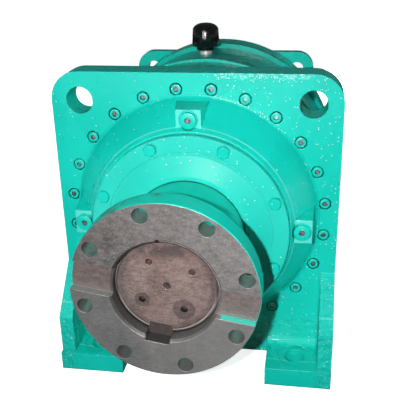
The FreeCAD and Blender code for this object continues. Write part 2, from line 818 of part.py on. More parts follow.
def planet_place(shape, angle):
    """Moves a shape from the shaft axis to a planet's axis, at rest."""
    x, z = polar(planet_circle_r, angle)
    shape.translate(Vector(x, 0, z))
    return at_rest(shape)


def planet_pin(angle):
    """A pin with a clip groove outside each carrier disc."""
    groove_r = pin_r - clip_depth
    pin_front = disc_front - pin_overhang
    pin_back = rear_disc_back + pin_overhang
    pin = turned([
        (pin_front, 0), (pin_front, pin_r), (disc_front - clip_thick, pin_r),
        (disc_front - clip_thick, groove_r), (disc_front, groove_r), (disc_front, pin_r),
        (rear_disc_back, pin_r), (rear_disc_back, groove_r), (rear_disc_back + clip_thick, groove_r),
        (rear_disc_back + clip_thick, pin_r), (pin_back, pin_r), (pin_back, 0),
    ])
    return planet_place(pin, angle)


def pin_clips():
    clips = []
    for angle in planet_angles:
        for front in (disc_front - clip_thick, rear_disc_back):
            clip = tube(pin_r - clip_depth + seat_gap, pin_r + clip_rise, front, front + clip_thick)
            clips.append(planet_place(clip, angle))
    return Part.Compound(clips)


def thrust_washers():
    washers = []
    for angle in planet_angles:
        for front in (disc_back, rear_disc_front - washer_thick):
            washer = tube(pin_r + seat_gap, pin_r + washer_width, front, front + washer_thick)
            washers.append(planet_place(washer, angle))
    return Part.Compound(washers)


def planet_gear(angle):
    """A planet with one tooth centred away from the shaft, so that it meets a space of the ring."""
    root_r = planet_pitch_r - root_depth
    tip_r = planet_pitch_r + tip_height
    gear = toothed_bar(planet_teeth, root_r, tip_r, flank_setback, gear_front, gear_back, middle=angle)
    bore = rod(bush_r + seat_gap, gear_front - cut_past, gear_back + cut_past)
    return planet_place(gear.cut(bore), angle)


def planet_bush(angle):
    return planet_place(tube(pin_r + running_gap, bush_r, gear_front, gear_back), angle)


def input_key():
    key_back = input_end - input_key_from_end
    return at_rest(key_bar(input_key_width, input_shaft_r - input_key_sunk, input_key_height,
                           key_back - input_key_length, key_back))


def sun_shaft():
    """The input shaft with the sun gear cut on it and a pilot journal at its front end."""
    root_r = sun_pitch_r - root_depth
    core_r = root_r - sun_core_step
    pilot_front = disc_back - pilot_length + pilot_end_room
    front = gear_front - sun_overhang
    back = gear_back + sun_overhang
    teeth = toothed_bar(sun_teeth, root_r, sun_tip_r, flank_setback, front, back)
    body = turned([
        (pilot_front, 0), (pilot_front, pilot_r), (front, pilot_r), (front, core_r),
        (back + sun_run_out, core_r), (back + sun_run_out, input_shoulder_r),
        (input_bearing_front, input_shoulder_r), (input_bearing_front, input_seat_r),
        (input_step, input_seat_r), (input_step, input_shaft_r),
        (input_end - input_shaft_chamfer, input_shaft_r), (input_end, input_shaft_r - input_shaft_chamfer),
        (input_end, 0),
    ])
    return at_rest(teeth.fuse(body)).cut(input_key())


def rear_cover():
    """The wall behind the gears: rear bearing boss in front, neck for the input bearings behind."""
    spigot_r = casing_bore_r - seat_gap
    boss_front = rear_bearing_front - rear_boss_lead
    web_front = casing_back - rear_web_lead
    stop_back = rear_bearing_back + rear_stop_room
    body = turned([
        (boss_front, rear_bearing_r), (boss_front, rear_boss_r), (web_front - rear_boss_cone, rear_boss_r),
        (web_front, rear_boss_r + rear_boss_cone), (web_front, spigot_r), (casing_back, spigot_r),
        (casing_back, rear_flange_r), (rear_cover_back, rear_flange_r), (rear_cover_back, rear_neck_r),
        (neck_end, rear_neck_r), (neck_end, input_bearing_r), (input_bearing_front, input_bearing_r),
        (input_bearing_front, input_stop_r), (stop_back, input_stop_r), (stop_back, rear_outer_race_r),
        (rear_bearing_back, rear_outer_race_r), (rear_bearing_back, rear_bearing_r),
    ])
    seat = rear_cover_back - casing_screw_head
    cuts = [bar_at(casing_screw_bore_r, seat, rear_cover_back + cut_past, rear_screw_circle_r,
                   rear_screw_angles)]
    cuts.append(bar_at(casing_screw_r + bolt_gap, casing_back - cut_past, rear_cover_back,
                       rear_screw_circle_r, rear_screw_angles))
    cuts.append(bar_at(support_bolt_r + thread_gap, rear_cover_back - support_bolt_grip - hole_spare,
                       rear_cover_back + cut_past, support_bolt_circle_r, support_bolt_angles))
    cuts.append(bar_at(input_bolt_r + thread_gap, neck_end - input_bolt_grip - hole_spare,
                       neck_end + cut_past, input_bolt_circle_r, input_bolt_angles))
    return body.cut(cuts)


def rear_screws():
    seat = rear_cover_back - casing_screw_head
    return socket_screws(casing_screw_head_r, casing_screw_r, seat, seat - casing_back + casing_screw_grip,
                         rear_screw_circle_r, rear_screw_angles, -1)


def rear_support():
    """The square plate at the back with feet that reach backwards."""
    feet = (rear_foot_width, rear_foot_reach, rear_plate_thick, rear_foot_hole_inset, rear_foot_hole_back)
    body = footed_plate(rear_plate_half_width, rear_plate_top, rear_plate_thick, rear_plate_corner,
                        rear_plate_hole_r, feet)
    body.rotate(Vector(0, 0, 0), Vector(0, 0, 1), 180)
    body.translate(Vector(0, rear_plate_back, 0))
    front = rear_cover_back - cut_past
    back = rear_plate_back + cut_past
    bore = rod(rear_neck_r + seat_gap, front, back)
    bolts = bar_at(support_bolt_r + bolt_gap, front, back, support_bolt_circle_r, support_bolt_angles)
    return body.cut([bore, bolts])


def support_bolts():
    return hex_bolts(support_bolt_flats, support_bolt_r, support_bolt_head, rear_plate_back,
                     rear_plate_thick + support_bolt_grip, support_bolt_circle_r, support_bolt_angles, -1)


def input_cover():
    """The small cover that holds the input bearings and the input seal."""
    seal_y = input_cover_back - input_seal_width
    bore_r = input_seat_r + air_gap
    spigot_r = input_bearing_r - seat_gap
    body = turned([
        (input_bearing_end, input_outer_race_r), (input_bearing_end, spigot_r), (neck_end, spigot_r),
        (neck_end, rear_neck_r), (input_cover_back, rear_neck_r),
        (input_cover_back, input_seal_r + seat_gap), (seal_y, input_seal_r + seat_gap), (seal_y, bore_r),
        (seal_y - input_cover_lip, bore_r), (seal_y - input_cover_lip, input_outer_race_r),
    ])
    return body.cut(bar_at(input_bolt_r + bolt_gap, neck_end - cut_past, input_cover_back + cut_past,
                           input_bolt_circle_r, input_bolt_angles))


def input_bolts():
    return hex_bolts(input_bolt_flats, input_bolt_r, input_bolt_head, input_cover_back,
                     input_cover_thick + input_bolt_grip, input_bolt_circle_r, input_bolt_angles, -1)


def both_input(make):
    """The same ring at each of the two input bearings."""
    return Part.Compound([make(front, front + input_bearing_width)
                          for front in (input_bearing_front, input_bearing_2_front)])


def input_spacer(inner_r, outer_r):
    return tube(inner_r, outer_r, input_bearing_front + input_bearing_width, input_bearing_2_front)


nodes = {
    "front_housing": front_housing(),
    "casing_screws": casing_screws(),
    "gear_casing": gear_casing(),
    "oil_plugs": Part.Compound([spun(oil_plug(), angle) for angle in plug_angles]),
    "plug_washers": Part.Compound([spun(plug_washer(), angle) for angle in plug_angles]),
    "bearing_cover": bearing_cover(),
    "cover_bolts": cover_bolts(),
    "output_seal": lip_seal(hub_r, seal_r, seal_front, seal_back),
    "front_bearing_outer_ring": outer_race(front_outer_race_r, front_bearing_r - seat_gap, bearing_front,
                                           bearing_back),
    "front_bearing_inner_ring": tube(bearing_seat_r + seat_gap, front_race_r, bearing_front, bearing_back),
    "front_bearing_rollers": rollers(front_race_r, front_outer_race_r, bearing_front, bearing_back,
                                     front_roller_count),
    "bearing_clip": bearing_clip(),
    "output_shaft": output_shaft(),
    "output_key": at_rest(output_key()),
    "coupling_flange": coupling_flange(),
    "carrier_rear": carrier_rear(),
    "carrier_bolts": carrier_bolts(),
    "pin_clips": pin_clips(),
    "thrust_washers": thrust_washers(),
    "sun_shaft": sun_shaft(),
    "pilot_bush": tube(pilot_r + running_gap, pilot_r + pilot_bush_wall - seat_gap,
                       disc_back - pilot_length, disc_back - pilot_bush_short),
    "rear_cover": rear_cover(),
    "rear_cover_screws": rear_screws(),
    "rear_support": rear_support(),
    "rear_support_bolts": support_bolts(),
    "rear_bearing_outer_ring": outer_race(rear_outer_race_r, rear_bearing_r - seat_gap, rear_bearing_front,
                                          rear_bearing_back),
    "rear_bearing_inner_ring": tube(rear_bearing_seat_r + seat_gap, rear_race_r, rear_bearing_front,
                                    rear_bearing_back),
    "rear_bearing_rollers": rollers(rear_race_r, rear_outer_race_r, rear_bearing_front, rear_bearing_back,
                                    rear_roller_count),
    "input_bearing_outer_rings": both_input(
        lambda front, back: outer_race(input_outer_race_r, input_bearing_r - seat_gap, front, back)),
    "input_bearing_inner_rings": both_input(
        lambda front, back: tube(input_seat_r + seat_gap, input_race_r, front, back)),
    "input_bearing_rollers": both_input(
        lambda front, back: rollers(input_race_r, input_outer_race_r, front, back, input_roller_count)),
    "input_inner_spacer": input_spacer(input_seat_r + seat_gap, input_race_r - spacer_step),
    "input_outer_spacer": input_spacer(input_outer_race_r + spacer_step, input_bearing_r - seat_gap),
    "input_cover": input_cover(),
    "input_cover_bolts": input_bolts(),
    "input_seal": lip_seal(input_seat_r, input_seal_r, input_cover_back - input_seal_width,
                           input_cover_back),
    "input_key": input_key(),
    "breather_washer": breather_washer(),
    "breather_stem": breather_stem(),
    "breather_cap": breather_cap(),
}
for number, angle in enumerate(planet_angles, 1):
    nodes[f"planet_gear_{number}"] = planet_gear(angle)
    nodes[f"planet_bush_{number}"] = planet_bush(angle)
    nodes[f"planet_pin_{number}"] = planet_pin(angle)

# The origin is on the floor, below the middle of the unit's length.
for name, shape in nodes.items():
    shape.translate(Vector(0, -middle_y, axis_height))
    shape.exportStep(f"parts/{name}.step")
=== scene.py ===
import math

import bmesh
import bpy
from mathutils import Matrix, Vector


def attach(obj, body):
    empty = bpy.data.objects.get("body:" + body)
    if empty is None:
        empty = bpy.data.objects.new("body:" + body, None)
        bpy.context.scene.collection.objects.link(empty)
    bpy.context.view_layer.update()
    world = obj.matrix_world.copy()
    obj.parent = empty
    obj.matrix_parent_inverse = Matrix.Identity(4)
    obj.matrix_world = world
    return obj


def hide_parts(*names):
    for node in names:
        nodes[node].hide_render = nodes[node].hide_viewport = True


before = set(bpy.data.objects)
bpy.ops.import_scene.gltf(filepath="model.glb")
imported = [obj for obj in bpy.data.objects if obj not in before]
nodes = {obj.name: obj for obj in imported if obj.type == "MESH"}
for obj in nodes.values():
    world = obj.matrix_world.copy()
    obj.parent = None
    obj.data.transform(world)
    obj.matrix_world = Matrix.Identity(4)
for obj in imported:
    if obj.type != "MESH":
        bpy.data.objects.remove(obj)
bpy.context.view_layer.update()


# Front housing. One iron casting: square plate, nose, four oil bosses and two feet with gussets.
# Its skin is cast and a little rough, only the plate's front face is milled, and the whole unit
# is sprayed with glossy teal machine enamel after assembly.
AXIS = Vector((0.0, 0.0, 0.294))
PLATE_FACE = -0.1535
PLATE_TOP = AXIS.z + 0.254
BOSS_FACE = PLATE_FACE - 0.056
NOSE_BASE = 0.215
GUSSET_INSIDE = 0.227
TEAL = "#15DCCA"
DEEP_TEAL = "#10D0BE"
THIN_COAT_AND_HIGHLIGHT = "#5FE6D8"
DUST_AND_GLINT = "#F4FFFD"
CREVICE_SHADE_TINT = "#05493F"


def linear(code):
    """A colour written as on a paint chart, turned into the shader's numbers."""
    parts = [int(code[i:i + 2], 16) / 255 for i in (1, 3, 5)]
    return tuple(p / 12.92 if p <= 0.04045 else ((p + 0.055) / 1.055) ** 2.4 for p in parts) + (1.0,)


def plug(tree, node, inputs):
    """Links each named socket of a node to another node's output, or sets it to a value."""
    for key, value in inputs.items():
        if isinstance(value, bpy.types.NodeSocket):
            tree.links.new(value, node.inputs[key])
        else:
            node.inputs[key].default_value = value


def add(tree, kind, inputs=None, **settings):
    """A shader node with its settings and its sockets filled."""
    node = tree.nodes.new("ShaderNode" + kind)
    for key, value in settings.items():
        setattr(node, key, value)
    plug(tree, node, inputs or {})
    return node


def combined(tree, operation, *values):
    """One operation over two or more values, from left to right."""
    whole = values[0]
    for value in values[1:]:
        whole = add(tree, "Math", {0: whole, 1: value}, operation=operation).outputs[0]
    return whole


def unsigned(tree, value):
    """A number without its sign."""
    return add(tree, "Math", {0: value}, operation="ABSOLUTE").outputs[0]


def both(tree, *masks):
    """White only where every mask is. A bare number among them weakens the result."""
    return combined(tree, "MULTIPLY", *masks)


def either(tree, *masks):
    """White wherever one of the masks is."""
    return combined(tree, "MAXIMUM", *masks)


def ramp(tree, value, low, high, bottom=0.0, top=1.0):
    """Bottom below low, top above high, and a smooth step between."""
    return add(tree, "MapRange", {"Value": value, "From Min": low, "From Max": high, "To Min": bottom,
                                  "To Max": top}, interpolation_type="SMOOTHSTEP").outputs["Result"]


def band(tree, value, start, full, fade, end, top=1.0):
    """A mask that rises from start to full and falls again from fade to end."""
    return both(tree, ramp(tree, value, start, full), ramp(tree, value, end, fade, 0.0, top))


def mixed(tree, share, a, b):
    """Colour a where share is 0 and b where it is 1."""
    return add(tree, "Mix", {0: share, 6: a, 7: b}, data_type="RGBA").outputs[2]


def tinted(tree, colour, share, code):
    """The colour, turned to the one in the code as far as the mask says."""
    return mixed(tree, share, colour, linear(code))


def blended(tree, share, a, b):
    """Number a where share is 0 and b where it is 1."""
    return add(tree, "Mix", {0: share, 2: a, 3: b}).outputs[0]


def speckle(tree, place, scale, detail=3.0, rough=0.55):
    """Cloudy noise. The larger the scale, the finer it is."""
    return add(tree, "TexNoise", {"Vector": place, "Scale": scale, "Detail": detail,
                                  "Roughness": rough}).outputs["Fac"]


def relief_of(tree, strength, depth, height, **others):
    """A shader normal with fine relief of that depth."""
    sockets = {"Strength": strength, "Distance": depth, "Height": height, **others}
    return add(tree, "Bump", sockets).outputs[0]


def new_group(name, inputs, outputs):
    """An effect shared by several finishes: a node group with named inputs and outputs."""
    group = bpy.data.node_groups.new(name, "ShaderNodeTree")
    for label, value in inputs.items():
        kind = "Vector" if value == "place" else "Color" if value == "colour" else "Float"
        socket = group.interface.new_socket(label, in_out="INPUT", socket_type="NodeSocket" + kind)
        if kind == "Float":
            socket.default_value = value
    for label, kind in outputs.items():
        group.interface.new_socket(label, in_out="OUTPUT", socket_type="NodeSocket" + kind)
    return group, group.nodes.new("NodeGroupInput").outputs, group.nodes.new("NodeGroupOutput")


def use(tree, group, **inputs):
    """One placing of a shared effect. Spaces in its socket names are written as underscores."""
    node = tree.nodes.new("ShaderNodeGroup")
    node.node_tree = group
    plug(tree, node, {key.replace("_", " "): value for key, value in inputs.items()})
    return node.outputs


def build_soft_edge():
    """Corners read as rounded, and a mask is white along them."""
    group, given, out = new_group("soft_edge", {"Radius": 0.002}, {"Normal": "Vector", "Edge": "Float"})
    bevel = add(group, "Bevel", {"Radius": given["Radius"]}, samples=6).outputs[0]
    flat = add(group, "NewGeometry").outputs["Normal"]
    meet = add(group, "VectorMath", {0: bevel, 1: flat}, operation="DOT_PRODUCT").outputs["Value"]
    plug(group, out, {"Normal": bevel, "Edge": ramp(group, meet, 0.995, 0.85)})
    return group


def build_enamel_skin():
    """Sprayed enamel: slow tone changes, orange peel, cast grain below it and fine flecks, which stand
    for dust and for painted glints.
    """
    group, given, out = new_group(
        "enamel_skin", {"Place": "place", "Grain": 0.5, "Flecks": 0.05},
        {"Tone": "Float", "Fleck": "Float", "Height": "Float"})
    place = given["Place"]
    fleck_sizes = ((90.0, 0.15), (190.0, 0.24), (330.0, 0.34))
    found = []
    for scale, width in fleck_sizes:
        cells = add(group, "TexVoronoi", {"Vector": place, "Scale": scale})
        near = ramp(group, cells.outputs["Distance"], width, width * 0.6)
        pick = add(group, "SeparateColor", {0: cells.outputs["Color"]}).outputs[0]
        found.append(both(group, near, combined(group, "LESS_THAN", pick, given["Flecks"])))
    fleck = either(group, *found)
    cast = combined(group, "SUBTRACT", speckle(group, place, 95.0, 5.0, 0.62), 0.5)
    height = combined(group, "ADD", both(group, cast, given["Grain"]),
                      both(group, speckle(group, place, 260.0, 2.0), 0.2), both(group, fleck, 0.6))
    plug(group, out, {"Tone": speckle(group, place, 7.0, 4.0, 0.6), "Fleck": fleck, "Height": height})
    return group


def build_crevice_shade():
    """White in narrow gaps and tight inner corners, which the finishes darken as painted shade."""
    group, given, out = new_group("crevice_shade", {"Reach": 0.008}, {"Mask": "Float"})
    open_sky = add(group, "AmbientOcclusion", {"Distance": given["Reach"]}, samples=8).outputs["AO"]
    plug(group, out, {"Mask": ramp(group, open_sky, 0.75, 0.30)})
    return group


soft_edge = build_soft_edge()
enamel_skin = build_enamel_skin()
crevice_shade = build_crevice_shade()


def finish_of(name):
    """A new material: its node tree, its shader and the object's own coordinates."""
    material = bpy.data.materials.new(name)
    material.use_nodes = True
    tree = material.node_tree
    place = add(tree, "TexCoord").outputs["Object"]
    return material, tree, tree.nodes["Principled BSDF"], place


def enamel(name, grain, flecks, edge=0.0022, light=TEAL, dark=DEEP_TEAL, dull=0.22, coat=0.05, drift=None):
    """Teal enamel over iron. Grain is how rough the casting is below, and flecks how many flecks of
    dust and painted glints the coat shows.
    """
    material, tree, shader, place = finish_of(name)
    rounded = use(tree, soft_edge, Radius=edge)
    pale = 0.0
    if drift:
        flecks, grain, pale = drift(tree, place, flecks, grain)
    # Painted glints: more white flecks along the edges.
    flecks = combined(tree, "ADD", flecks, both(tree, rounded["Edge"], 0.2))
    skin = use(tree, enamel_skin, Place=place, Grain=grain, Flecks=flecks)
    colour = mixed(tree, ramp(tree, skin["Tone"], 0.3, 0.7), linear(dark), linear(light))
    # Edges paled where the coat is thin and as painted highlight; the drift's pale share is painted
    # highlight.
    thin = both(tree, rounded["Edge"], ramp(tree, skin["Tone"], 0.42, 0.62, 0.0, 0.28))
    colour = tinted(tree, colour, either(tree, thin, pale), THIN_COAT_AND_HIGHLIGHT)
    # The white flecks are dust and painted glints.
    colour = tinted(tree, colour, both(tree, skin["Fleck"], 0.88), DUST_AND_GLINT)
    patches = ramp(tree, speckle(tree, place, 12.0, 4.0), 0.4, 0.58, 0.25, 0.85)
    # Painted shade: narrow gaps and inner corners darkened to deep teal, more in some patches than others.
    colour = tinted(tree, colour, both(tree, use(tree, crevice_shade, Reach=0.0095)["Mask"], patches), CREVICE_SHADE_TINT)
    plug(tree, shader, {
        "Base Color": colour,
        "Roughness": ramp(tree, skin["Tone"], 0.3, 0.7, dull, dull + 0.10),
        "Normal": relief_of(tree, 0.5, 0.0006, skin["Height"], Normal=rounded["Normal"]),
        "Specular IOR Level": 0.2,
        "Coat Weight": coat,
        "Coat Roughness": 0.10})
    return material


def dress(material, *names):
    """Gives CAD nodes their finish."""
    for name in names:
        for held in nodes[name].material_slots:
            held.material = material


def across(tree, place):
    """The place with its station along the shaft taken out."""
    return add(tree, "VectorMath", {0: place, 1: (1.0, 0.0, 1.0)}, operation="MULTIPLY").outputs[0]


def from_axis(tree, place):
    """Distance from the shaft axis, and the place with its height counted from that axis."""
    centred = add(tree, "Mapping", {"Vector": place, "Location": (0, 0, -AXIS.z)}).outputs[0]
    radius = add(tree, "VectorMath", {0: across(tree, centred)}, operation="LENGTH").outputs["Value"]
    return radius, centred


def housing_drift(tree, place, flecks, grain):
    """More white flecks, as painted glints, on the plate's upper right and along the nose's foot there,
    a pale line below the plate's top edge and paler boss fronts, both painted highlight, a milled plate
    face, and lumps of sand and paint on the gusset fronts and where the feet begin."""
    x, y, z = add(tree, "SeparateXYZ", {0: place}).outputs
    radius = from_axis(tree, place)[0]
    off_face = unsigned(tree, combined(tree, "SUBTRACT", y, PLATE_FACE))
    on_face = ramp(tree, off_face, 0.003, 0.001)
    right = ramp(tree, x, -0.02, 0.10)
    top_line = both(tree, ramp(tree, z, PLATE_TOP - 0.0095, PLATE_TOP - 0.0075),
                    band(tree, x, 0.03, 0.06, 0.18, 0.20))
    high = both(tree, ramp(tree, z, PLATE_TOP - 0.018, PLATE_TOP - 0.007, 0.05, 0.45), right)
    wide = both(tree, ramp(tree, z, 0.44, 0.53, 0.0, 0.07), right)
    # Painted glints: extra white flecks on the plate face's upper right and below its top edge.
    face_glints = both(tree, on_face, either(tree, high, top_line, wide))
    # Painted glints: white flecks along the nose's foot on the upper right.
    nose_foot = band(tree, radius, NOSE_BASE - 0.0015, NOSE_BASE + 0.0005, NOSE_BASE + 0.0045,
                     NOSE_BASE + 0.0075)
    foot_glints = both(tree, nose_foot, ramp(tree, z, 0.42, 0.46, 0.0, 0.5), right)
    side = ramp(tree, unsigned(tree, x), GUSSET_INSIDE - 0.005, GUSSET_INSIDE - 0.001)
    gusset = both(tree, side, ramp(tree, y, PLATE_FACE - 0.004, PLATE_FACE - 0.012))
    bend = both(tree, ramp(tree, z, 0.108, 0.080), ramp(tree, off_face, 0.034, 0.020))
    milled = ramp(tree, off_face, 0.0003, 0.0009, 0.15, grain)
    # Painted highlight: a broken pale line below the plate's top edge.
    top_edge_highlight = both(tree, top_line, on_face, ramp(tree, speckle(tree, place, 130.0, 3.0), 0.45, 0.55))
    off_boss = unsigned(tree, combined(tree, "SUBTRACT", y, BOSS_FACE))
    # Painted highlight: the boss fronts paled.
    boss = ramp(tree, off_boss, 0.0016, 0.0008, 0.0, 0.95)
    more = either(tree, face_glints, foot_glints, both(tree, gusset, 0.08))
    flecks = combined(tree, "ADD", more, ramp(tree, z, 0.20, 0.40, flecks * 0.2, flecks))
    return flecks, blended(tree, either(tree, gusset, bend), milled, 20.0), either(tree, boss, top_edge_highlight)


housing_enamel = enamel("housing_enamel", 1.0, 0.012, drift=housing_drift)
dress(housing_enamel, "front_housing")

# The foundry rounds the inner corner between nose and plate. The fillet is a thin ring with a
# hollow outer side, cast in one with both and painted over.
NOSE_FRONT = 0.172
NOSE_LENGTH = 0.064
NOSE_SLOPE = (NOSE_BASE - NOSE_FRONT) / NOSE_LENGTH
FILLET = 0.006
FILLET_STEPS = 6


def turned(profile, steps, centre=Vector((0, 0, 0)), axis=Vector((0, 1, 0))):
    """A few vertices along (station, radius), spun about an axis through the centre into a closed shape."""
    bm = bmesh.new()
    out = Vector((1, 0, 0))
    line = [bm.verts.new(centre + axis * station + out * radius) for station, radius in profile]
    edges = [bm.edges.new((line[i], line[(i + 1) % len(line)])) for i in range(len(line))
             if profile[i][1] > 0 or profile[(i + 1) % len(line)][1] > 0]
    bmesh.ops.spin(bm, geom=line + edges, cent=centre, axis=axis, angle=math.tau, steps=steps,
                   use_merge=True)
    bmesh.ops.remove_doubles(bm, verts=bm.verts, dist=1e-6)
    return bm


def finish_piece(bm, name, materials, body, slot, *replaced):
    """Closes a bmesh into an object with its finish, its body and the CAD nodes it stands for."""
    bmesh.ops.recalc_face_normals(bm, faces=bm.faces)
    for face in bm.faces:
        face.smooth = True
    for edge in bm.edges:
        edge.smooth = edge.calc_face_angle(0.0) < math.radians(32)
    mesh = bpy.data.meshes.new(name)
    bm.to_mesh(mesh)
    bm.free()
    for material in materials:
        mesh.materials.append(material)
    made = bpy.data.objects.new(name, mesh)
    bpy.context.scene.collection.objects.link(made)
    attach(made, body)
    if replaced:
        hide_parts(*replaced)


lean = math.hypot(1, NOSE_SLOPE)
fillet_r = NOSE_BASE + FILLET * (lean - NOSE_SLOPE)
fillet_profile = [(0.001, NOSE_BASE - 0.002), (0.001, fillet_r)]
for k in range(FILLET_STEPS + 1):
    turn = math.atan2(1, NOSE_SLOPE) * k / FILLET_STEPS
    fillet_profile.append((FILLET * (math.cos(turn) - 1), fillet_r - FILLET * math.sin(turn)))
fillet_profile.append((fillet_profile[-1][0], fillet_profile[-1][1] - 0.002))
nose_fillet = turned(fillet_profile, 120, centre=AXIS + Vector((0, PLATE_FACE, 0)))
finish_piece(nose_fillet, "nose_fillet", [housing_enamel], "housing", "teal_paint")


# Gear casing, rear support, rear cover and input cover. The drum and the two plates behind it are
# cast and turned iron, bolted to the housing and sprayed with the same enamel. The drum's enamel is
# mixed darker as painted shade, for the weaker light behind the plate.
shaded_casing_enamel = enamel("shaded_casing_enamel", 0.35, 0.012, light="#12C7B6", dark="#0EBCAB")
dress(shaded_casing_enamel, "gear_casing")
rear_enamel = enamel("rear_enamel", 0.35, 0.012)
dress(rear_enamel, "rear_support", "rear_cover", "input_cover")


# Bearing cover. A turned iron disc over the nose with a raised centre round the shaft. Its flat
# ring kept a coarser skin under the paint, and the raised centre was turned smooth.
def cover_drift(tree, place, flecks, grain):
    """More flecks of dust and painted glints on the upper half of the disc, and the grain fades on the
    turned middle.
    """
    radius, centred = from_axis(tree, place)
    z = add(tree, "SeparateXYZ", {0: centred}).outputs[2]
    return (combined(tree, "ADD", ramp(tree, z, 0.0, 0.15, 0.0, 0.025), flecks),
            ramp(tree, radius, 0.120, 0.142, 0.25, grain), 0.0)


# The cover's enamel is mixed paler than the housing's, a painted sheen for light scattered by its rough
# skin.
cover_enamel = enamel("cover_enamel", 0.9, 0.010, light="#32DACA", dark="#1FD1C0", dull=0.42, coat=0.0,
                      drift=cover_drift)
dress(cover_enamel, "bearing_cover")


# Plate screws. Socket-head cap screws, sunk in counterbores round the plate and painted over with
# the casting; only the bottoms of their sockets, where the key sat, are bare metal.
PLATE_SCREWS = 24
PLATE_SCREW_CIRCLE = 0.228


def bare_socket_steel():
    """Steel at the bottom of a socket: dull, pinkish with first rust and a little grease. The spray
    reached into the sockets right of the middle."""
    material, tree, shader, place = finish_of("socket_steel")
    stain = speckle(tree, place, 320.0, 3.0)
    x = add(tree, "SeparateXYZ", {0: place}).outputs[0]
    colour = mixed(tree, ramp(tree, stain, 0.35, 0.65), linear("#4A464B"), linear("#918B92"))
    colour = tinted(tree, colour, band(tree, x, 0.03, 0.12, 0.15, 0.19, 0.6), "#8FE0DA")
    # Painted shade: the socket's tight corners darkened.
    colour = tinted(tree, colour, use(tree, crevice_shade, Reach=0.003)["Mask"], "#2E2628")
    plug(tree, shader, {"Base Color": colour, "Roughness": ramp(tree, stain, 0.3, 0.7, 0.3, 0.5),
                        "Metallic": 0.6})
    return material


def flats_on(bm, radius, flats):
    """Moves every vertex at that distance from the Y axis onto a hexagon of that width over its flats."""
    for v in bm.verts:
        if abs(math.hypot(v.co.x, v.co.z) - radius) < 1e-6:
            angle = math.atan2(v.co.z, v.co.x)
            span = math.degrees(angle) % 60 - 30
            size = flats / 2 / math.cos(math.radians(span))
            v.co.x = size * math.cos(angle)
            v.co.z = size * math.sin(angle)


def cap_screw(head_r, head, shank_r, grip, socket, socket_deep, edge):
    """A socket-head cap screw whose head ends at Y = 0 and whose shank points along +Y."""
    key_r = socket * 0.55
    profile = [(socket_deep, 0), (socket_deep, key_r), (0, key_r), (0, head_r - edge),
               (edge * 0.3, head_r - edge * 0.3), (edge, head_r), (head, head_r), (head, shank_r),
               (head + grip, shank_r), (head + grip, 0)]
    bm = turned(profile, 24)
    flats_on(bm, key_r, socket)
    for face in bm.faces:
        middle = face.calc_center_median()
        inside = math.hypot(middle.x, middle.z) < key_r * 0.9 and middle.y > socket_deep * 0.7
        face.material_index = 1 if inside and middle.y < head * 0.9 else 0
    return bm


def ring_of(template, places):
    """Copies of one fastener, each set at its own place, in one mesh."""
    held = bpy.data.meshes.new("fastener")
    template.to_mesh(held)
    whole = bmesh.new()
    for place in places:
        before = len(whole.verts)
        whole.from_mesh(held)
        whole.verts.ensure_lookup_table()
        bmesh.ops.transform(whole, matrix=place, verts=whole.verts[before:])
    template.free()
    bpy.data.meshes.remove(held)
    return whole


def round_the_shaft(station, circle_r, angles, facing=1):
    """Places on a circle round the shaft, counted anticlockwise from +X by someone who faces the coupling.

    Facing is 1 where the head looks at the coupling and -1 where it looks the other way. Each fastener
    has stopped at a turn of its own."""
    places = []
    for k, angle in enumerate(angles):
        turn = math.radians(angle)
        spot = AXIS + Vector((circle_r * math.cos(turn), station, circle_r * math.sin(turn)))
        head = Matrix.Rotation(math.radians(0 if facing == 1 else 180), 4, "Z")
        own = Matrix.Rotation(math.radians((k * 37) % 60), 4, "Y")
        places.append(Matrix.Translation(spot) @ head @ own)
    return places


def even_angles(count):
    """Angles of that many fasteners, evenly spaced, with +X midway between two of them."""
    return [180 / count + 360 * k / count for k in range(count)]


def twelve_mm_screw(grip):
    """The size of cap screw that holds both the plate and the rear cover, with that length of shank."""
    return cap_screw(head_r=0.009, head=0.012, shank_r=0.006, grip=grip, socket=0.0085,
                     socket_deep=0.005, edge=0.0014)


screw_enamel = enamel("screw_enamel", 0.25, 0.04, edge=0.0014)
socket_steel = bare_socket_steel()
plate_screw = twelve_mm_screw(grip=0.066)
plate_places = round_the_shaft(PLATE_FACE - 0.001, PLATE_SCREW_CIRCLE, even_angles(PLATE_SCREWS))
finish_piece(ring_of(plate_screw, plate_places), "plate_screws", [screw_enamel, socket_steel], "housing",
             "teal_paint", "casing_screws")


# Cover bolts. Hexagon-head bolts that hold the bearing cover on the nose, their corners softened
# by two coats of enamel.
COVER_FACE = PLATE_FACE - 0.078
COVER_BOLT_CIRCLE = 0.156
COVER_BOLT_HEAD = 0.008


def hex_bolt(flats, head, shank_r, grip):
    """A hexagon bolt whose head ends at Y = 0: chamfered face, washer face and a plain shank along +Y."""
    corner_r = flats / 2 * 1.1
    face_r = flats / 2 * 0.94
    washer_r = flats / 2 * 0.97
    chamfer = head * 0.16
    seat = head - 0.0008
    profile = [(0, 0), (0, face_r * 0.9), (0, face_r), (chamfer, corner_r), (seat, corner_r),
               (seat, washer_r), (head, washer_r), (head, shank_r), (head + grip, shank_r),
               (head + grip, 0)]
    bm = turned(profile, 24)
    flats_on(bm, corner_r, flats)
    return bm


cover_bolt = hex_bolt(flats=0.019, head=COVER_BOLT_HEAD, shank_r=0.006, grip=0.038)
cover_places = round_the_shaft(COVER_FACE - COVER_BOLT_HEAD, COVER_BOLT_CIRCLE, even_angles(8))
finish_piece(ring_of(cover_bolt, cover_places), "cover_hex_bolts", [screw_enamel], "housing", "teal_paint",
             "cover_bolts")


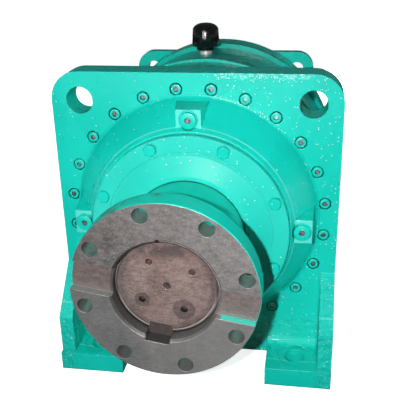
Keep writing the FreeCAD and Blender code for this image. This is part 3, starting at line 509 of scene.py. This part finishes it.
# Oil plugs. Round screw plugs with a hexagon socket, one on each boss of the nose over a soft
# sealing washer, painted with the rest.
BOSS_CIRCLE = 0.189
PLUG_FLANGE = 0.005
PLUG_BORE = 0.0101
WASHER_R = 0.016
WASHER_THICK = 0.0015
plug_end = BOSS_FACE - WASHER_THICK - PLUG_FLANGE
boss_places = round_the_shaft(plug_end, BOSS_CIRCLE, [0, 90, 180, 270])
oil_plug = cap_screw(head_r=0.014, head=PLUG_FLANGE, shank_r=0.010, grip=0.016, socket=0.0100,
                     socket_deep=0.0045, edge=0.0016)
finish_piece(ring_of(oil_plug, boss_places), "oil_plug_screws", [screw_enamel, socket_steel], "housing",
             "teal_paint", "oil_plugs")
washer = turned([(0, PLUG_BORE), (0, WASHER_R - 0.0008), (0.0005, WASHER_R), (WASHER_THICK, WASHER_R),
                 (WASHER_THICK, PLUG_BORE)], 48)
washer_places = [Matrix.Translation((0, PLUG_FLANGE, 0)) @ place for place in boss_places]
finish_piece(ring_of(washer, washer_places), "plug_sealing_washers", [screw_enamel], "housing",
             "teal_paint", "plug_washers")


# Coupling flange. Forged steel, turned all over. Its face, its back, bolt holes and cross slot stayed
# bare and have a thin brown film on dull grey; the spray reached its rim, its hub and the slot's right end.
COUPLING_FACE = -0.4385
COUPLING_R = 0.1385
COUPLING_BACK = COUPLING_FACE + 0.038
SLOT_HALF = 0.023
SLOT_FLOOR = COUPLING_FACE + 0.0125
REST_TURN = 9.1
SHAFT_R = 0.078
KEY_HALF = 0.018
PAST_KEYWAY = 0.094


def build_turned_steel():
    """Bare turned steel left in the open: blotches, fine grain, faint tool rings and brown film."""
    group, given, out = new_group(
        "turned_steel", {"Place": "place", "From Axis": 0.0, "Light": "colour", "Dark": "colour",
                         "Film": "colour", "Film Share": 0.35},
        {"Colour": "Color", "Rough": "Float", "Height": "Float"})
    place = given["Place"]
    blotch = speckle(group, place, 22.0, 6.0, 0.68)
    grain = speckle(group, place, 420.0, 4.0, 0.8)
    rings = add(group, "TexNoise", {"W": given["From Axis"], "Scale": 850.0, "Detail": 2.0},
                noise_dimensions="1D").outputs["Fac"]
    film = ramp(group, speckle(group, place, 9.0, 6.0, 0.7), 0.42, 0.66)
    wiped = add(group, "Mapping", {"Vector": place, "Scale": (1.0, 1.0, 2.2)}).outputs[0]
    streak = speckle(group, wiped, 110.0, 4.0, 0.7)
    pits = ramp(group, speckle(group, place, 150.0, 2.0), 0.30, 0.24, 0.0, 0.6)
    share = combined(group, "ADD", ramp(group, blotch, 0.3, 0.7, 0.0, 0.45),
                     ramp(group, grain, 0.38, 0.62, 0.0, 0.45), ramp(group, streak, 0.35, 0.65, -0.1, 0.25))
    colour = mixed(group, share, given["Dark"], given["Light"])
    colour = mixed(group, both(group, film, given["Film Share"]), colour, given["Film"])
    colour = mixed(group, pits, colour, given["Dark"])
    rough = combined(group, "ADD", ramp(group, film, 0.0, 1.0, 0.42, 0.58), both(group, grain, 0.12))
    height = combined(group, "ADD", both(group, grain, 0.7), both(group, rings, 0.5))
    plug(group, out, {"Colour": colour, "Rough": rough, "Height": height})
    return group


turned_steel = build_turned_steel()


def away_from(tree, place, spot):
    """How far the place is from a spot."""
    return add(tree, "VectorMath", {0: place, 1: spot}, operation="DISTANCE").outputs["Value"]


def worked_grain(tree, colour, place, level, z):
    """Fine dark and light grain, drawn out by the tool, that fades below the cross slot."""
    drawn = add(tree, "Mapping", {"Vector": level, "Rotation": (0, 0.5, 0), "Scale": (0.45, 1.0, 1.0)})
    fine = combined(tree, "ADD", both(tree, speckle(tree, place, 430.0, 5.0, 0.85), 0.5),
                    both(tree, speckle(tree, drawn.outputs[0], 160.0, 6.0, 0.75), 0.5))
    upper = ramp(tree, z, -0.030, -0.012, 0.2, 1.0)
    colour = tinted(tree, colour, both(tree, ramp(tree, fine, 0.52, 0.42, 0.0, 0.36), upper), "#3A3535")
    return tinted(tree, colour, both(tree, ramp(tree, fine, 0.52, 0.64, 0.0, 0.18), upper), "#D0C9C9")


def bore_mouth(tree, colour, level, radius):
    """The bore and its keyway darkened as painted shade, more on the left, a painted highlight ring and a
    painted shadow ring round the mouth on the upper right, and a notch at its top painted black as shade."""
    x, y, z = add(tree, "SeparateXYZ", {0: level}).outputs
    # Painted shade: the bore darkened, more on its left.
    bore_shade = both(tree, ramp(tree, radius, SHAFT_R + 0.0042, SHAFT_R + 0.0036),
                ramp(tree, y, COUPLING_FACE + 0.0006, COUPLING_FACE + 0.0014),
                ramp(tree, x, 0.0, 0.05, 1.0, 0.6))
    colour = tinted(tree, colour, both(tree, bore_shade, 0.5), "#2B2727")
    # Painted shade: the keyway darkened.
    keyway_shade = both(tree, ramp(tree, unsigned(tree, x), KEY_HALF + 0.0010, KEY_HALF + 0.0004),
                  ramp(tree, z, 0.004 - SHAFT_R, 0.002 - SHAFT_R),
                  ramp(tree, radius, PAST_KEYWAY, PAST_KEYWAY - 0.001),
                  ramp(tree, y, COUPLING_FACE + 0.0004, COUPLING_FACE + 0.0012))
    colour = tinted(tree, colour, both(tree, keyway_shade, 0.75), "#202625")
    upper_right = both(tree, ramp(tree, x, -0.03, 0.0), ramp(tree, z, -0.03, -0.01),
                       ramp(tree, y, COUPLING_FACE + 0.0016, COUPLING_FACE + 0.0010))
    # Painted highlight and painted shadow: a bright and a dark ring round the mouth on the upper right.
    bright = band(tree, radius, SHAFT_R + 0.0007, SHAFT_R + 0.0012, SHAFT_R + 0.0040, SHAFT_R + 0.0044, 0.9)
    colour = tinted(tree, colour, both(tree, bright, upper_right), "#CFCBC8")
    dark = band(tree, radius, SHAFT_R + 0.0042, SHAFT_R + 0.0046, SHAFT_R + 0.0055, SHAFT_R + 0.0060, 0.7)
    colour = tinted(tree, colour, both(tree, dark, upper_right), "#3A3736")
    # Painted shade: a black notch at the top of the bore's mouth.
    notch_shade = ramp(tree, away_from(tree, across(tree, level), (-0.0185, 0.0, 0.0785)), 0.0040, 0.0032)
    return colour, notch_shade


def coupling_finish():
    """Bare steel with grey-green light in the bolt holes, a pinkish slot floor, and paint at the rim. It is
    lighter to the right and along its edges as painted light, and darker in its gaps as painted shade.
    """
    material, tree, shader, place = finish_of("coupling_finish")
    radius, centred = from_axis(tree, place)
    back = (0, math.radians(-REST_TURN), 0)
    level = add(tree, "Mapping", {"Vector": centred, "Rotation": back}).outputs[0]
    x, y, z = add(tree, "SeparateXYZ", {0: level}).outputs
    rounded = use(tree, soft_edge, Radius=0.0012)
    steel = use(tree, turned_steel, Place=place, From_Axis=radius, Light=linear("#7F7D7C"),
                Dark=linear("#464544"), Film=linear("#6E625F"), Film_Share=0.4)
    tone = use(tree, enamel_skin, Place=place, Grain=0.2, Flecks=0.04)["Tone"]
    ragged = both(tree, combined(tree, "SUBTRACT", tone, 0.5), 0.004)
    sunk = ramp(tree, y, COUPLING_FACE + 0.0004, COUPLING_FACE + 0.0012)
    slot_wall = both(tree, sunk, band(tree, z, -SLOT_HALF - 0.0012, -SLOT_HALF - 0.0008,
                                      -SLOT_HALF + 0.0004, -SLOT_HALF + 0.0008))
    holes = both(tree, band(tree, radius, PAST_KEYWAY, PAST_KEYWAY + 0.003, 0.128, 0.131), sunk,
                 ramp(tree, unsigned(tree, z), SLOT_HALF + 0.0005, SLOT_HALF + 0.0020),
                 ramp(tree, y, COUPLING_BACK - 0.0006, COUPLING_BACK - 0.0014))
    slot_floor = band(tree, y, SLOT_FLOOR - 0.0007, SLOT_FLOOR - 0.0001, SLOT_FLOOR + 0.0005,
                      SLOT_FLOOR + 0.0011, 0.425)
    colour = tinted(tree, steel["Colour"], ramp(tree, z, 0.01, -0.06, 0.0, 0.3), "#8E9593")
    # Painted light: the face grows lighter towards the right.
    colour = tinted(tree, colour, ramp(tree, x, -0.08, 0.12, 0.0, 0.3), "#ADA9A9")
    colour = tinted(tree, colour, both(tree, holes, 0.8), "#8C9793")
    colour = tinted(tree, colour, slot_floor, "#866B66")
    colour = worked_grain(tree, colour, place, level, z)
    colour, notch_shade = bore_mouth(tree, colour, level, radius)
    colour = tinted(tree, colour, both(tree, slot_wall, ramp(tree, x, -0.07, -0.08), 0.7), "#96A09C")
    # Painted highlight: the edges lightened.
    colour = tinted(tree, colour, both(tree, rounded["Edge"], 0.75), "#ABA6A2")
    colour = tinted(tree, colour, notch_shade, "#0E0D0D")
    rim = ramp(tree, combined(tree, "ADD", radius, ragged), COUPLING_R - 0.0008, COUPLING_R - 0.0003)
    hub = ramp(tree, combined(tree, "ADD", y, ragged), COUPLING_BACK + 0.0004, COUPLING_BACK + 0.0010)
    slot_end = both(tree, slot_wall, ramp(tree, combined(tree, "ADD", x, ragged), 0.083, 0.088))
    paint = either(tree, rim, hub, slot_end)
    colour = tinted(tree, colour, paint, "#12D6C0")
    # Painted shade: gaps and inner corners darkened.
    colour = tinted(tree, colour, both(tree, use(tree, crevice_shade, Reach=0.006)["Mask"], 0.8), "#1D1B1A")
    plug(tree, shader, {
        "Base Color": colour,
        "Roughness": blended(tree, paint, steel["Rough"], 0.28),
        "Metallic": blended(tree, paint, 0.55, 0.0),
        "Normal": relief_of(tree, 0.35, 0.0004, steel["Height"], Normal=rounded["Normal"])})
    return material


dress(coupling_finish(), "coupling_flange")


# Output shaft, its key, the carrier discs and the input spacers. Forged and turned steel. The open
# end face has gone pinkish brown, darker near its edge and where washers sat round the two lower
# tapped holes.
END_FACE = COUPLING_FACE + 0.022
END_FACE_R = SHAFT_R - 0.004
CENTRE_HOLE_R = 0.006
END_HOLE_R = 0.0051
END_HOLE_CIRCLE = 0.045
WASHER_MARKS = ((213, 0.013), (303, 0.018))
PRIMER_HOLE = 123


def end_hole(angle, station=0.0, lift=0.0):
    """The middle of a tapped hole in the shaft's end, its height counted from the axis."""
    turn = math.radians(angle)
    return END_HOLE_CIRCLE * math.cos(turn), station, END_HOLE_CIRCLE * math.sin(turn) + lift


def end_stains(tree, colour, place, face, wobble):
    """Stains on the end face: its rim, a cloud near the top, washer marks, the dark edge of the centre
    hole, and a dab of orange primer in one hole; and a dark line round the face as painted shade."""
    radius, centred = from_axis(tree, place)
    z = add(tree, "SeparateXYZ", {0: centred}).outputs[2]
    uneven = combined(tree, "ADD", radius, wobble)
    cloud = ramp(tree, speckle(tree, place, 34.0, 5.0, 0.65), 0.40, 0.56, 0.1, 0.75)
    marks = either(tree, ramp(tree, uneven, END_FACE_R - 0.014, END_FACE_R - 0.006, 0.0, 0.45),
                   both(tree, ramp(tree, z, 0.036, 0.056), cloud))
    for angle, size in WASHER_MARKS:
        away = away_from(tree, across(tree, centred), end_hole(angle))
        away = combined(tree, "ADD", away, both(tree, wobble, 0.3))
        marks = either(tree, marks, ramp(tree, away, size, size - 0.0025, 0.0, 0.55),
                       ramp(tree, away, END_HOLE_R + 0.0015, END_HOLE_R + 0.0003))
    colour = tinted(tree, colour, both(tree, marks, face), "#3B3334")
    centre_edge = ramp(tree, radius, CENTRE_HOLE_R + 0.0002, CENTRE_HOLE_R - 0.0010, 0.0, 0.7)
    colour = tinted(tree, colour, both(tree, centre_edge, face), "#4A4542")
    # Painted shade: a dark line round the edge of the face.
    line = band(tree, radius, END_FACE_R - 0.0012, END_FACE_R - 0.0006, END_FACE_R + 0.0002,
                END_FACE_R + 0.0008, 0.8)
    colour = tinted(tree, colour, both(tree, line, face), "#1E1A1A")
    primer = away_from(tree, centred, end_hole(PRIMER_HOLE, END_FACE + 0.001, 0.0042))
    return tinted(tree, colour, ramp(tree, primer, 0.0032, 0.0022), "#C8501E")


def lit_rings(tree, colour, place, face, wobble):
    """The chamfer round the end face and a ring inside it on the lower half, lightened as painted
    highlight, with a dark line of painted shade inside them on the lower half.
    """
    radius, centred = from_axis(tree, place)
    z = add(tree, "SeparateXYZ", {0: centred}).outputs[2]
    uneven = combined(tree, "ADD", radius, wobble)
    # Painted highlight: the chamfer lightened.
    chamfer = band(tree, radius, END_FACE_R + 0.0008, END_FACE_R + 0.0012, END_FACE_R + 0.0031,
                   END_FACE_R + 0.0035, 0.75)
    colour = tinted(tree, colour, chamfer, "#A8A3A0")
    lower = both(tree, ramp(tree, z, -0.005, -0.035), face)
    # Painted shade: a dark line inside the rings on the lower half.
    line = both(tree, ramp(tree, uneven, END_FACE_R - 0.0040, END_FACE_R - 0.0030),
                ramp(tree, radius, END_FACE_R - 0.0014, END_FACE_R - 0.0019, 0.0, 0.7), lower)
    colour = tinted(tree, colour, line, "#453A37")
    # Painted highlight: a lighter ring inside the chamfer on the lower half.
    lower_highlight = band(tree, radius, END_FACE_R - 0.0018, END_FACE_R - 0.0013, END_FACE_R + 0.0007,
                END_FACE_R + 0.0012, 0.85)
    return tinted(tree, colour, both(tree, lower_highlight, lower), "#B4AEAA")


def shaft_finish(name, light, dark, film, end_marks=False):
    """Bare turned steel. End marks are the stains on the shaft's open end and its painted shade lines
    and painted highlight rings.
    """
    material, tree, shader, place = finish_of(name)
    radius, centred = from_axis(tree, place)
    rounded = use(tree, soft_edge, Radius=0.0012)
    steel = use(tree, turned_steel, Place=place, From_Axis=radius, Light=linear(light), Dark=linear(dark),
                Film=linear(film), Film_Share=0.6)
    colour = steel["Colour"]
    if end_marks:
        y = add(tree, "SeparateXYZ", {0: centred}).outputs[1]
        face = ramp(tree, y, END_FACE + 0.012, END_FACE + 0.008)
        wobble = both(tree, combined(tree, "SUBTRACT", speckle(tree, place, 60.0), 0.5), 0.010)
        colour = end_stains(tree, colour, place, face, wobble)
    colour = tinted(tree, colour, both(tree, rounded["Edge"], 0.5), "#A79F9B")
    # Painted shade: gaps and inner corners darkened.
    colour = tinted(tree, colour, both(tree, use(tree, crevice_shade, Reach=0.005)["Mask"], 0.8), "#1D1A19")
    if end_marks:
        colour = lit_rings(tree, colour, place, face, wobble)
    plug(tree, shader, {
        "Base Color": colour,
        "Roughness": steel["Rough"],
        "Metallic": 0.35,
        "Normal": relief_of(tree, 0.35, 0.0004, steel["Height"], Normal=rounded["Normal"])})
    return material


dress(shaft_finish("shaft_end_steel", "#A28F89", "#544644", "#7F5C54", end_marks=True), "output_shaft")
dress(shaft_finish("key_steel", "#524948", "#302B2B", "#453936"), "output_key")
dress(shaft_finish("carrier_steel", "#8A8785", "#5C5A59", "#76685F"), "carrier_rear", "input_inner_spacer",
      "input_outer_spacer")


# Gears. Case-hardened steel: the sun cut on the input shaft and three planets, dark from hardening
# with ground flanks, under a film of oil.
def gear_finish(name, dark, bright, rough):
    """Ground or plated metal with fine scratches along the shaft and soft clouds."""
    material, tree, shader, place = finish_of(name)
    rounded = use(tree, soft_edge, Radius=0.0012)
    cloud = speckle(tree, place, 30.0, 4.0, 0.6)
    drawn = add(tree, "Mapping", {"Vector": place, "Scale": (1.0, 14.0, 1.0)}).outputs[0]
    scratch = speckle(tree, drawn, 260.0, 2.0)
    share = combined(tree, "ADD", ramp(tree, cloud, 0.3, 0.7, 0.0, 0.6),
                     ramp(tree, scratch, 0.4, 0.7, 0.0, 0.4))
    colour = mixed(tree, share, linear(dark), linear(bright))
    plug(tree, shader, {
        "Base Color": tinted(tree, colour, both(tree, rounded["Edge"], 0.6), "#D8D6D2"),
        "Roughness": ramp(tree, cloud, 0.3, 0.7, rough, rough + 0.12),
        "Metallic": 0.5,
        "Normal": relief_of(tree, 0.2, 0.0003, scratch, Normal=rounded["Normal"])})
    return material


dress(gear_finish("hardened_gears", "#5B5C60", "#9A9B9F", 0.26), "sun_shaft", "planet_gear_1",
      "planet_gear_2", "planet_gear_3")


# Bearings, pins, input key, clips and bushes. Ground bearing steel for rings, rollers and pins, drawn
# steel for the key, blued steel for the clips and the carrier bolts, and bronze for the bushes and
# the thrust washers.
dress(gear_finish("bearing_steel", "#A6A8AC", "#D2D4D8", 0.16),
      "front_bearing_outer_ring", "front_bearing_inner_ring", "front_bearing_rollers",
      "rear_bearing_outer_ring", "rear_bearing_inner_ring", "rear_bearing_rollers",
      "input_bearing_outer_rings", "input_bearing_inner_rings", "input_bearing_rollers",
      "planet_pin_1", "planet_pin_2", "planet_pin_3")
dress(gear_finish("drawn_key_steel", "#8E8F92", "#B9BABD", 0.3), "input_key")
dress(gear_finish("blued_steel", "#1C1D22", "#3A3B42", 0.38), "pin_clips", "bearing_clip", "carrier_bolts")
dress(gear_finish("bronze", "#8F6A32", "#C39A55", 0.3), "planet_bush_1", "planet_bush_2", "planet_bush_3",
      "pilot_bush", "thrust_washers")


# Shaft seals. Black nitrile rings, pressed into the bearing cover and the input cover. Their lips
# wipe the turning shafts and are dull with a trace of grease.
def seal_rubber():
    """Black rubber with a grey bloom."""
    material, tree, shader, place = finish_of("seal_rubber")
    bloom = speckle(tree, place, 90.0, 4.0)
    plug(tree, shader, {
        "Base Color": mixed(tree, ramp(tree, bloom, 0.35, 0.7), linear("#17181A"), linear("#2C2E30")),
        "Roughness": ramp(tree, bloom, 0.3, 0.7, 0.45, 0.65),
        "Normal": relief_of(tree, 0.3, 0.0003, bloom)})
    return material


dress(seal_rubber(), "output_seal", "input_seal")


# Rear fasteners. Cap screws hold the rear cover to the drum, hexagon bolts hold the rear support
# and the input cover. The cap screws were painted with the drum, the bolts are zinc plated.
REAR_FACE = PLATE_FACE + 0.408
SUPPORT_FACE = PLATE_FACE + 0.430
INPUT_FACE = PLATE_FACE + 0.484
REAR_SCREW_CIRCLE = 0.218
SUPPORT_BOLT_CIRCLE = 0.150
SUPPORT_BOLT_HEAD = 0.010
INPUT_BOLT_CIRCLE = 0.084
INPUT_BOLT_HEAD = 0.007
zinc = gear_finish("zinc_plate", "#9FA09A", "#C9C9BE", 0.32)
rear_screw = twelve_mm_screw(grip=0.043)
rear_places = round_the_shaft(REAR_FACE, REAR_SCREW_CIRCLE, even_angles(12), facing=-1)
finish_piece(ring_of(rear_screw, rear_places), "rear_cap_screws", [screw_enamel, socket_steel], "housing",
             "teal_paint", "rear_cover_screws")
support_bolt = hex_bolt(flats=0.024, head=SUPPORT_BOLT_HEAD, shank_r=0.008, grip=0.048)
support_places = round_the_shaft(SUPPORT_FACE + SUPPORT_BOLT_HEAD, SUPPORT_BOLT_CIRCLE, even_angles(8),
                                 facing=-1)
finish_piece(ring_of(support_bolt, support_places), "support_hex_bolts", [zinc], "housing", "zinc_screws",
             "rear_support_bolts")
input_bolt = hex_bolt(flats=0.016, head=INPUT_BOLT_HEAD, shank_r=0.005, grip=0.034)
input_places = round_the_shaft(INPUT_FACE + INPUT_BOLT_HEAD, INPUT_BOLT_CIRCLE, even_angles(6),
                               facing=-1)
finish_piece(ring_of(input_bolt, input_places), "input_hex_bolts", [zinc], "housing", "zinc_screws",
             "input_cover_bolts")


# Breather. A chromed brass stem screwed into the top of the drum over a tinned washer, and a glossy
# black pressed cap that sits loose on the stem so that air can leave below it.
STEM_FOOT = Vector((-0.022, 0.1315, 0.5285))
UP = Vector((0, 0, 1))


def glossy_black():
    """Baked enamel on the cap: near black with a green cast as a painted reflection of the teal round
    it, mirror smooth with faint handling marks.
    """
    material, tree, shader, place = finish_of("black_cap_enamel")
    marks = speckle(tree, place, 130.0, 4.0, 0.6)
    plug(tree, shader, {
        "Base Color": mixed(tree, ramp(tree, marks, 0.3, 0.75), linear("#080B0A"), linear("#18201D")),
        "Roughness": ramp(tree, marks, 0.3, 0.75, 0.10, 0.20),
        "Specular IOR Level": 0.4,
        "Coat Weight": 1.0,
        "Coat Roughness": 0.04})
    return material


cap_profile = [(0.0085, 0.0086), (0.0085, 0.0180), (0.0092, 0.0190), (0.0150, 0.0190), (0.0160, 0.0255),
               (0.0170, 0.0275), (0.0180, 0.0279), (0.0500, 0.0260), (0.0522, 0.0250), (0.0556, 0.0222),
               (0.0584, 0.0180), (0.0602, 0.0132), (0.0611, 0.0080), (0.0614, 0.0), (0.0185, 0.0),
               (0.0185, 0.0086)]
black_cap = turned(cap_profile, 96, centre=STEM_FOOT, axis=UP)
finish_piece(black_cap, "breather_black_cap", [glossy_black()], "housing", "black_cap", "breather_cap")
chrome = gear_finish("chrome_plate", "#E4E6E8", "#F8F9FA", 0.3)
stem_profile = [(-0.0235, 0.0035), (-0.0235, 0.0065), (-0.0230, 0.0070), (0.0, 0.0070), (0.0, 0.0110),
                (0.0005, 0.0115), (0.0052, 0.0115), (0.0060, 0.0107), (0.0060, 0.0085), (0.0175, 0.0085),
                (0.0180, 0.0080), (0.0180, 0.0035)]
stem = turned(stem_profile, 64, centre=STEM_FOOT, axis=UP)
finish_piece(stem, "breather_chrome_stem", [chrome], "housing", "chrome_fitting", "breather_stem")
dress(gear_finish("tinned_copper", "#B7ADA4", "#DAD4CD", 0.3), "breather_washer")


# Studio. A pale floor in a plain pale room. The camera stands where the photograph was taken, a small
# lamp beside it throws the coupling's shadow, a window is only mirrored in the paint, and wide weak
# lamps reach the top from the left, the back and both sides.
floor_mesh = bmesh.new()
bmesh.ops.create_grid(floor_mesh, x_segments=1, y_segments=1, size=8.0)
floor_data = bpy.data.meshes.new("floor")
floor_mesh.to_mesh(floor_data)
floor_mesh.free()
floor = bpy.data.objects.new("floor", floor_data)
bpy.context.scene.collection.objects.link(floor)
floor_paint = bpy.data.materials.new("floor_paint")
floor_paint.use_nodes = True
floor_tree = floor_paint.node_tree
floor_shader = floor_tree.nodes["Principled BSDF"]
seen = add(floor_tree, "LightPath").outputs["Is Camera Ray"]
plug(floor_tree, floor_shader, {
    "Base Color": mixed(floor_tree, seen, (0.08, 0.08, 0.08, 1), (0.86, 0.86, 0.86, 1)),
    "Roughness": 0.9,
    "Specular IOR Level": 0.1})
centre_away = add(floor_tree, "VectorMath", {0: add(floor_tree, "TexCoord").outputs["Object"]},
                  operation="LENGTH").outputs["Value"]
glow = add(floor_tree, "Emission", {"Color": (1, 1, 1, 1),
                                    "Strength": ramp(floor_tree, centre_away, 0.7, 1.5, 0.84, 1.0)})
lit = floor_tree.nodes.new("ShaderNodeAddShader")
plug(floor_tree, lit, {0: floor_shader.outputs[0], 1: glow.outputs[0]})
choice = floor_tree.nodes.new("ShaderNodeMixShader")
plug(floor_tree, choice, {0: seen, 1: floor_shader.outputs[0], 2: lit.outputs[0]})
plug(floor_tree, floor_tree.nodes["Material Output"], {"Surface": choice.outputs[0]})
floor_data.materials.append(floor_paint)

world = bpy.data.worlds.new("room")
bpy.context.scene.world = world
world.use_nodes = True
room = world.node_tree
path = add(room, "LightPath").outputs
height = add(room, "SeparateXYZ", {0: add(room, "TexCoord").outputs["Generated"]}).outputs[2]
mirrored = both(room, either(room, path["Is Glossy Ray"], path["Is Transmission Ray"]),
                ramp(room, height, 0.02, 0.18, 0.13, 0.05))
plug(room, room.nodes["Background"], {
    "Color": (1, 1, 1, 1),
    "Strength": either(room, path["Is Camera Ray"], mirrored, 0.012)})

camera = bpy.data.objects.new("camera", bpy.data.cameras.new("camera"))
bpy.context.scene.collection.objects.link(camera)
stand = Matrix.Translation((0.1942, -1.2545, 0.7784))
pan = Matrix.Rotation(0.16222, 4, "Z")
tilt = Matrix.Rotation(-0.39386, 4, "X")
roll = Matrix.Rotation(0.02079, 4, "Y")
camera.matrix_world = stand @ pan @ tilt @ roll @ Matrix.Rotation(math.pi / 2, 4, "X")
camera.data.sensor_fit = "HORIZONTAL"
camera.data.sensor_width = 36.0
camera.data.lens = 59.85
bpy.context.scene.camera = camera


def lamp(name, place, target, size, power, shines=True, lights=True):
    """A square lamp. One that doesn't shine leaves no bright patch on the paint, and one that doesn't
    light anything is only mirrored in it."""
    light = bpy.data.lights.new(name, "AREA")
    light.size = size
    light.energy = power
    made = bpy.data.objects.new(name, light)
    bpy.context.scene.collection.objects.link(made)
    made.location = place
    made.rotation_euler = (Vector(target) - Vector(place)).to_track_quat("-Z", "Y").to_euler()
    made.visible_camera = False
    made.visible_glossy = shines
    made.visible_diffuse = lights


lamp("front_lamp", camera.matrix_world @ Vector((-0.095, 0.0, 0.0)), (0.0, -0.15, 0.30), 0.022, 14.0)
lamp("over_lamp", (-1.1, 0.4, 2.2), (0.0, 0.1, 0.4), 1.2, 5.0, shines=False)
lamp("window_lamp", (-0.27, -2.83, 0.65), (-0.02, 0.13, 0.57), 1.6, 40.0, lights=False)
lamp("back_lamp", (0.3, 2.6, 0.35), (0.0, 0.4, 0.3), 1.2, 50.0, shines=False)
lamp("left_lamp", (-2.2, 0.15, 0.25), (0.0, 0.0, 0.3), 0.8, 20.0, shines=False)
lamp("right_lamp", (2.2, 0.15, 0.25), (0.0, 0.0, 0.3), 0.8, 17.0, shines=False)

bpy.context.scene.view_settings.view_transform = "Standard"
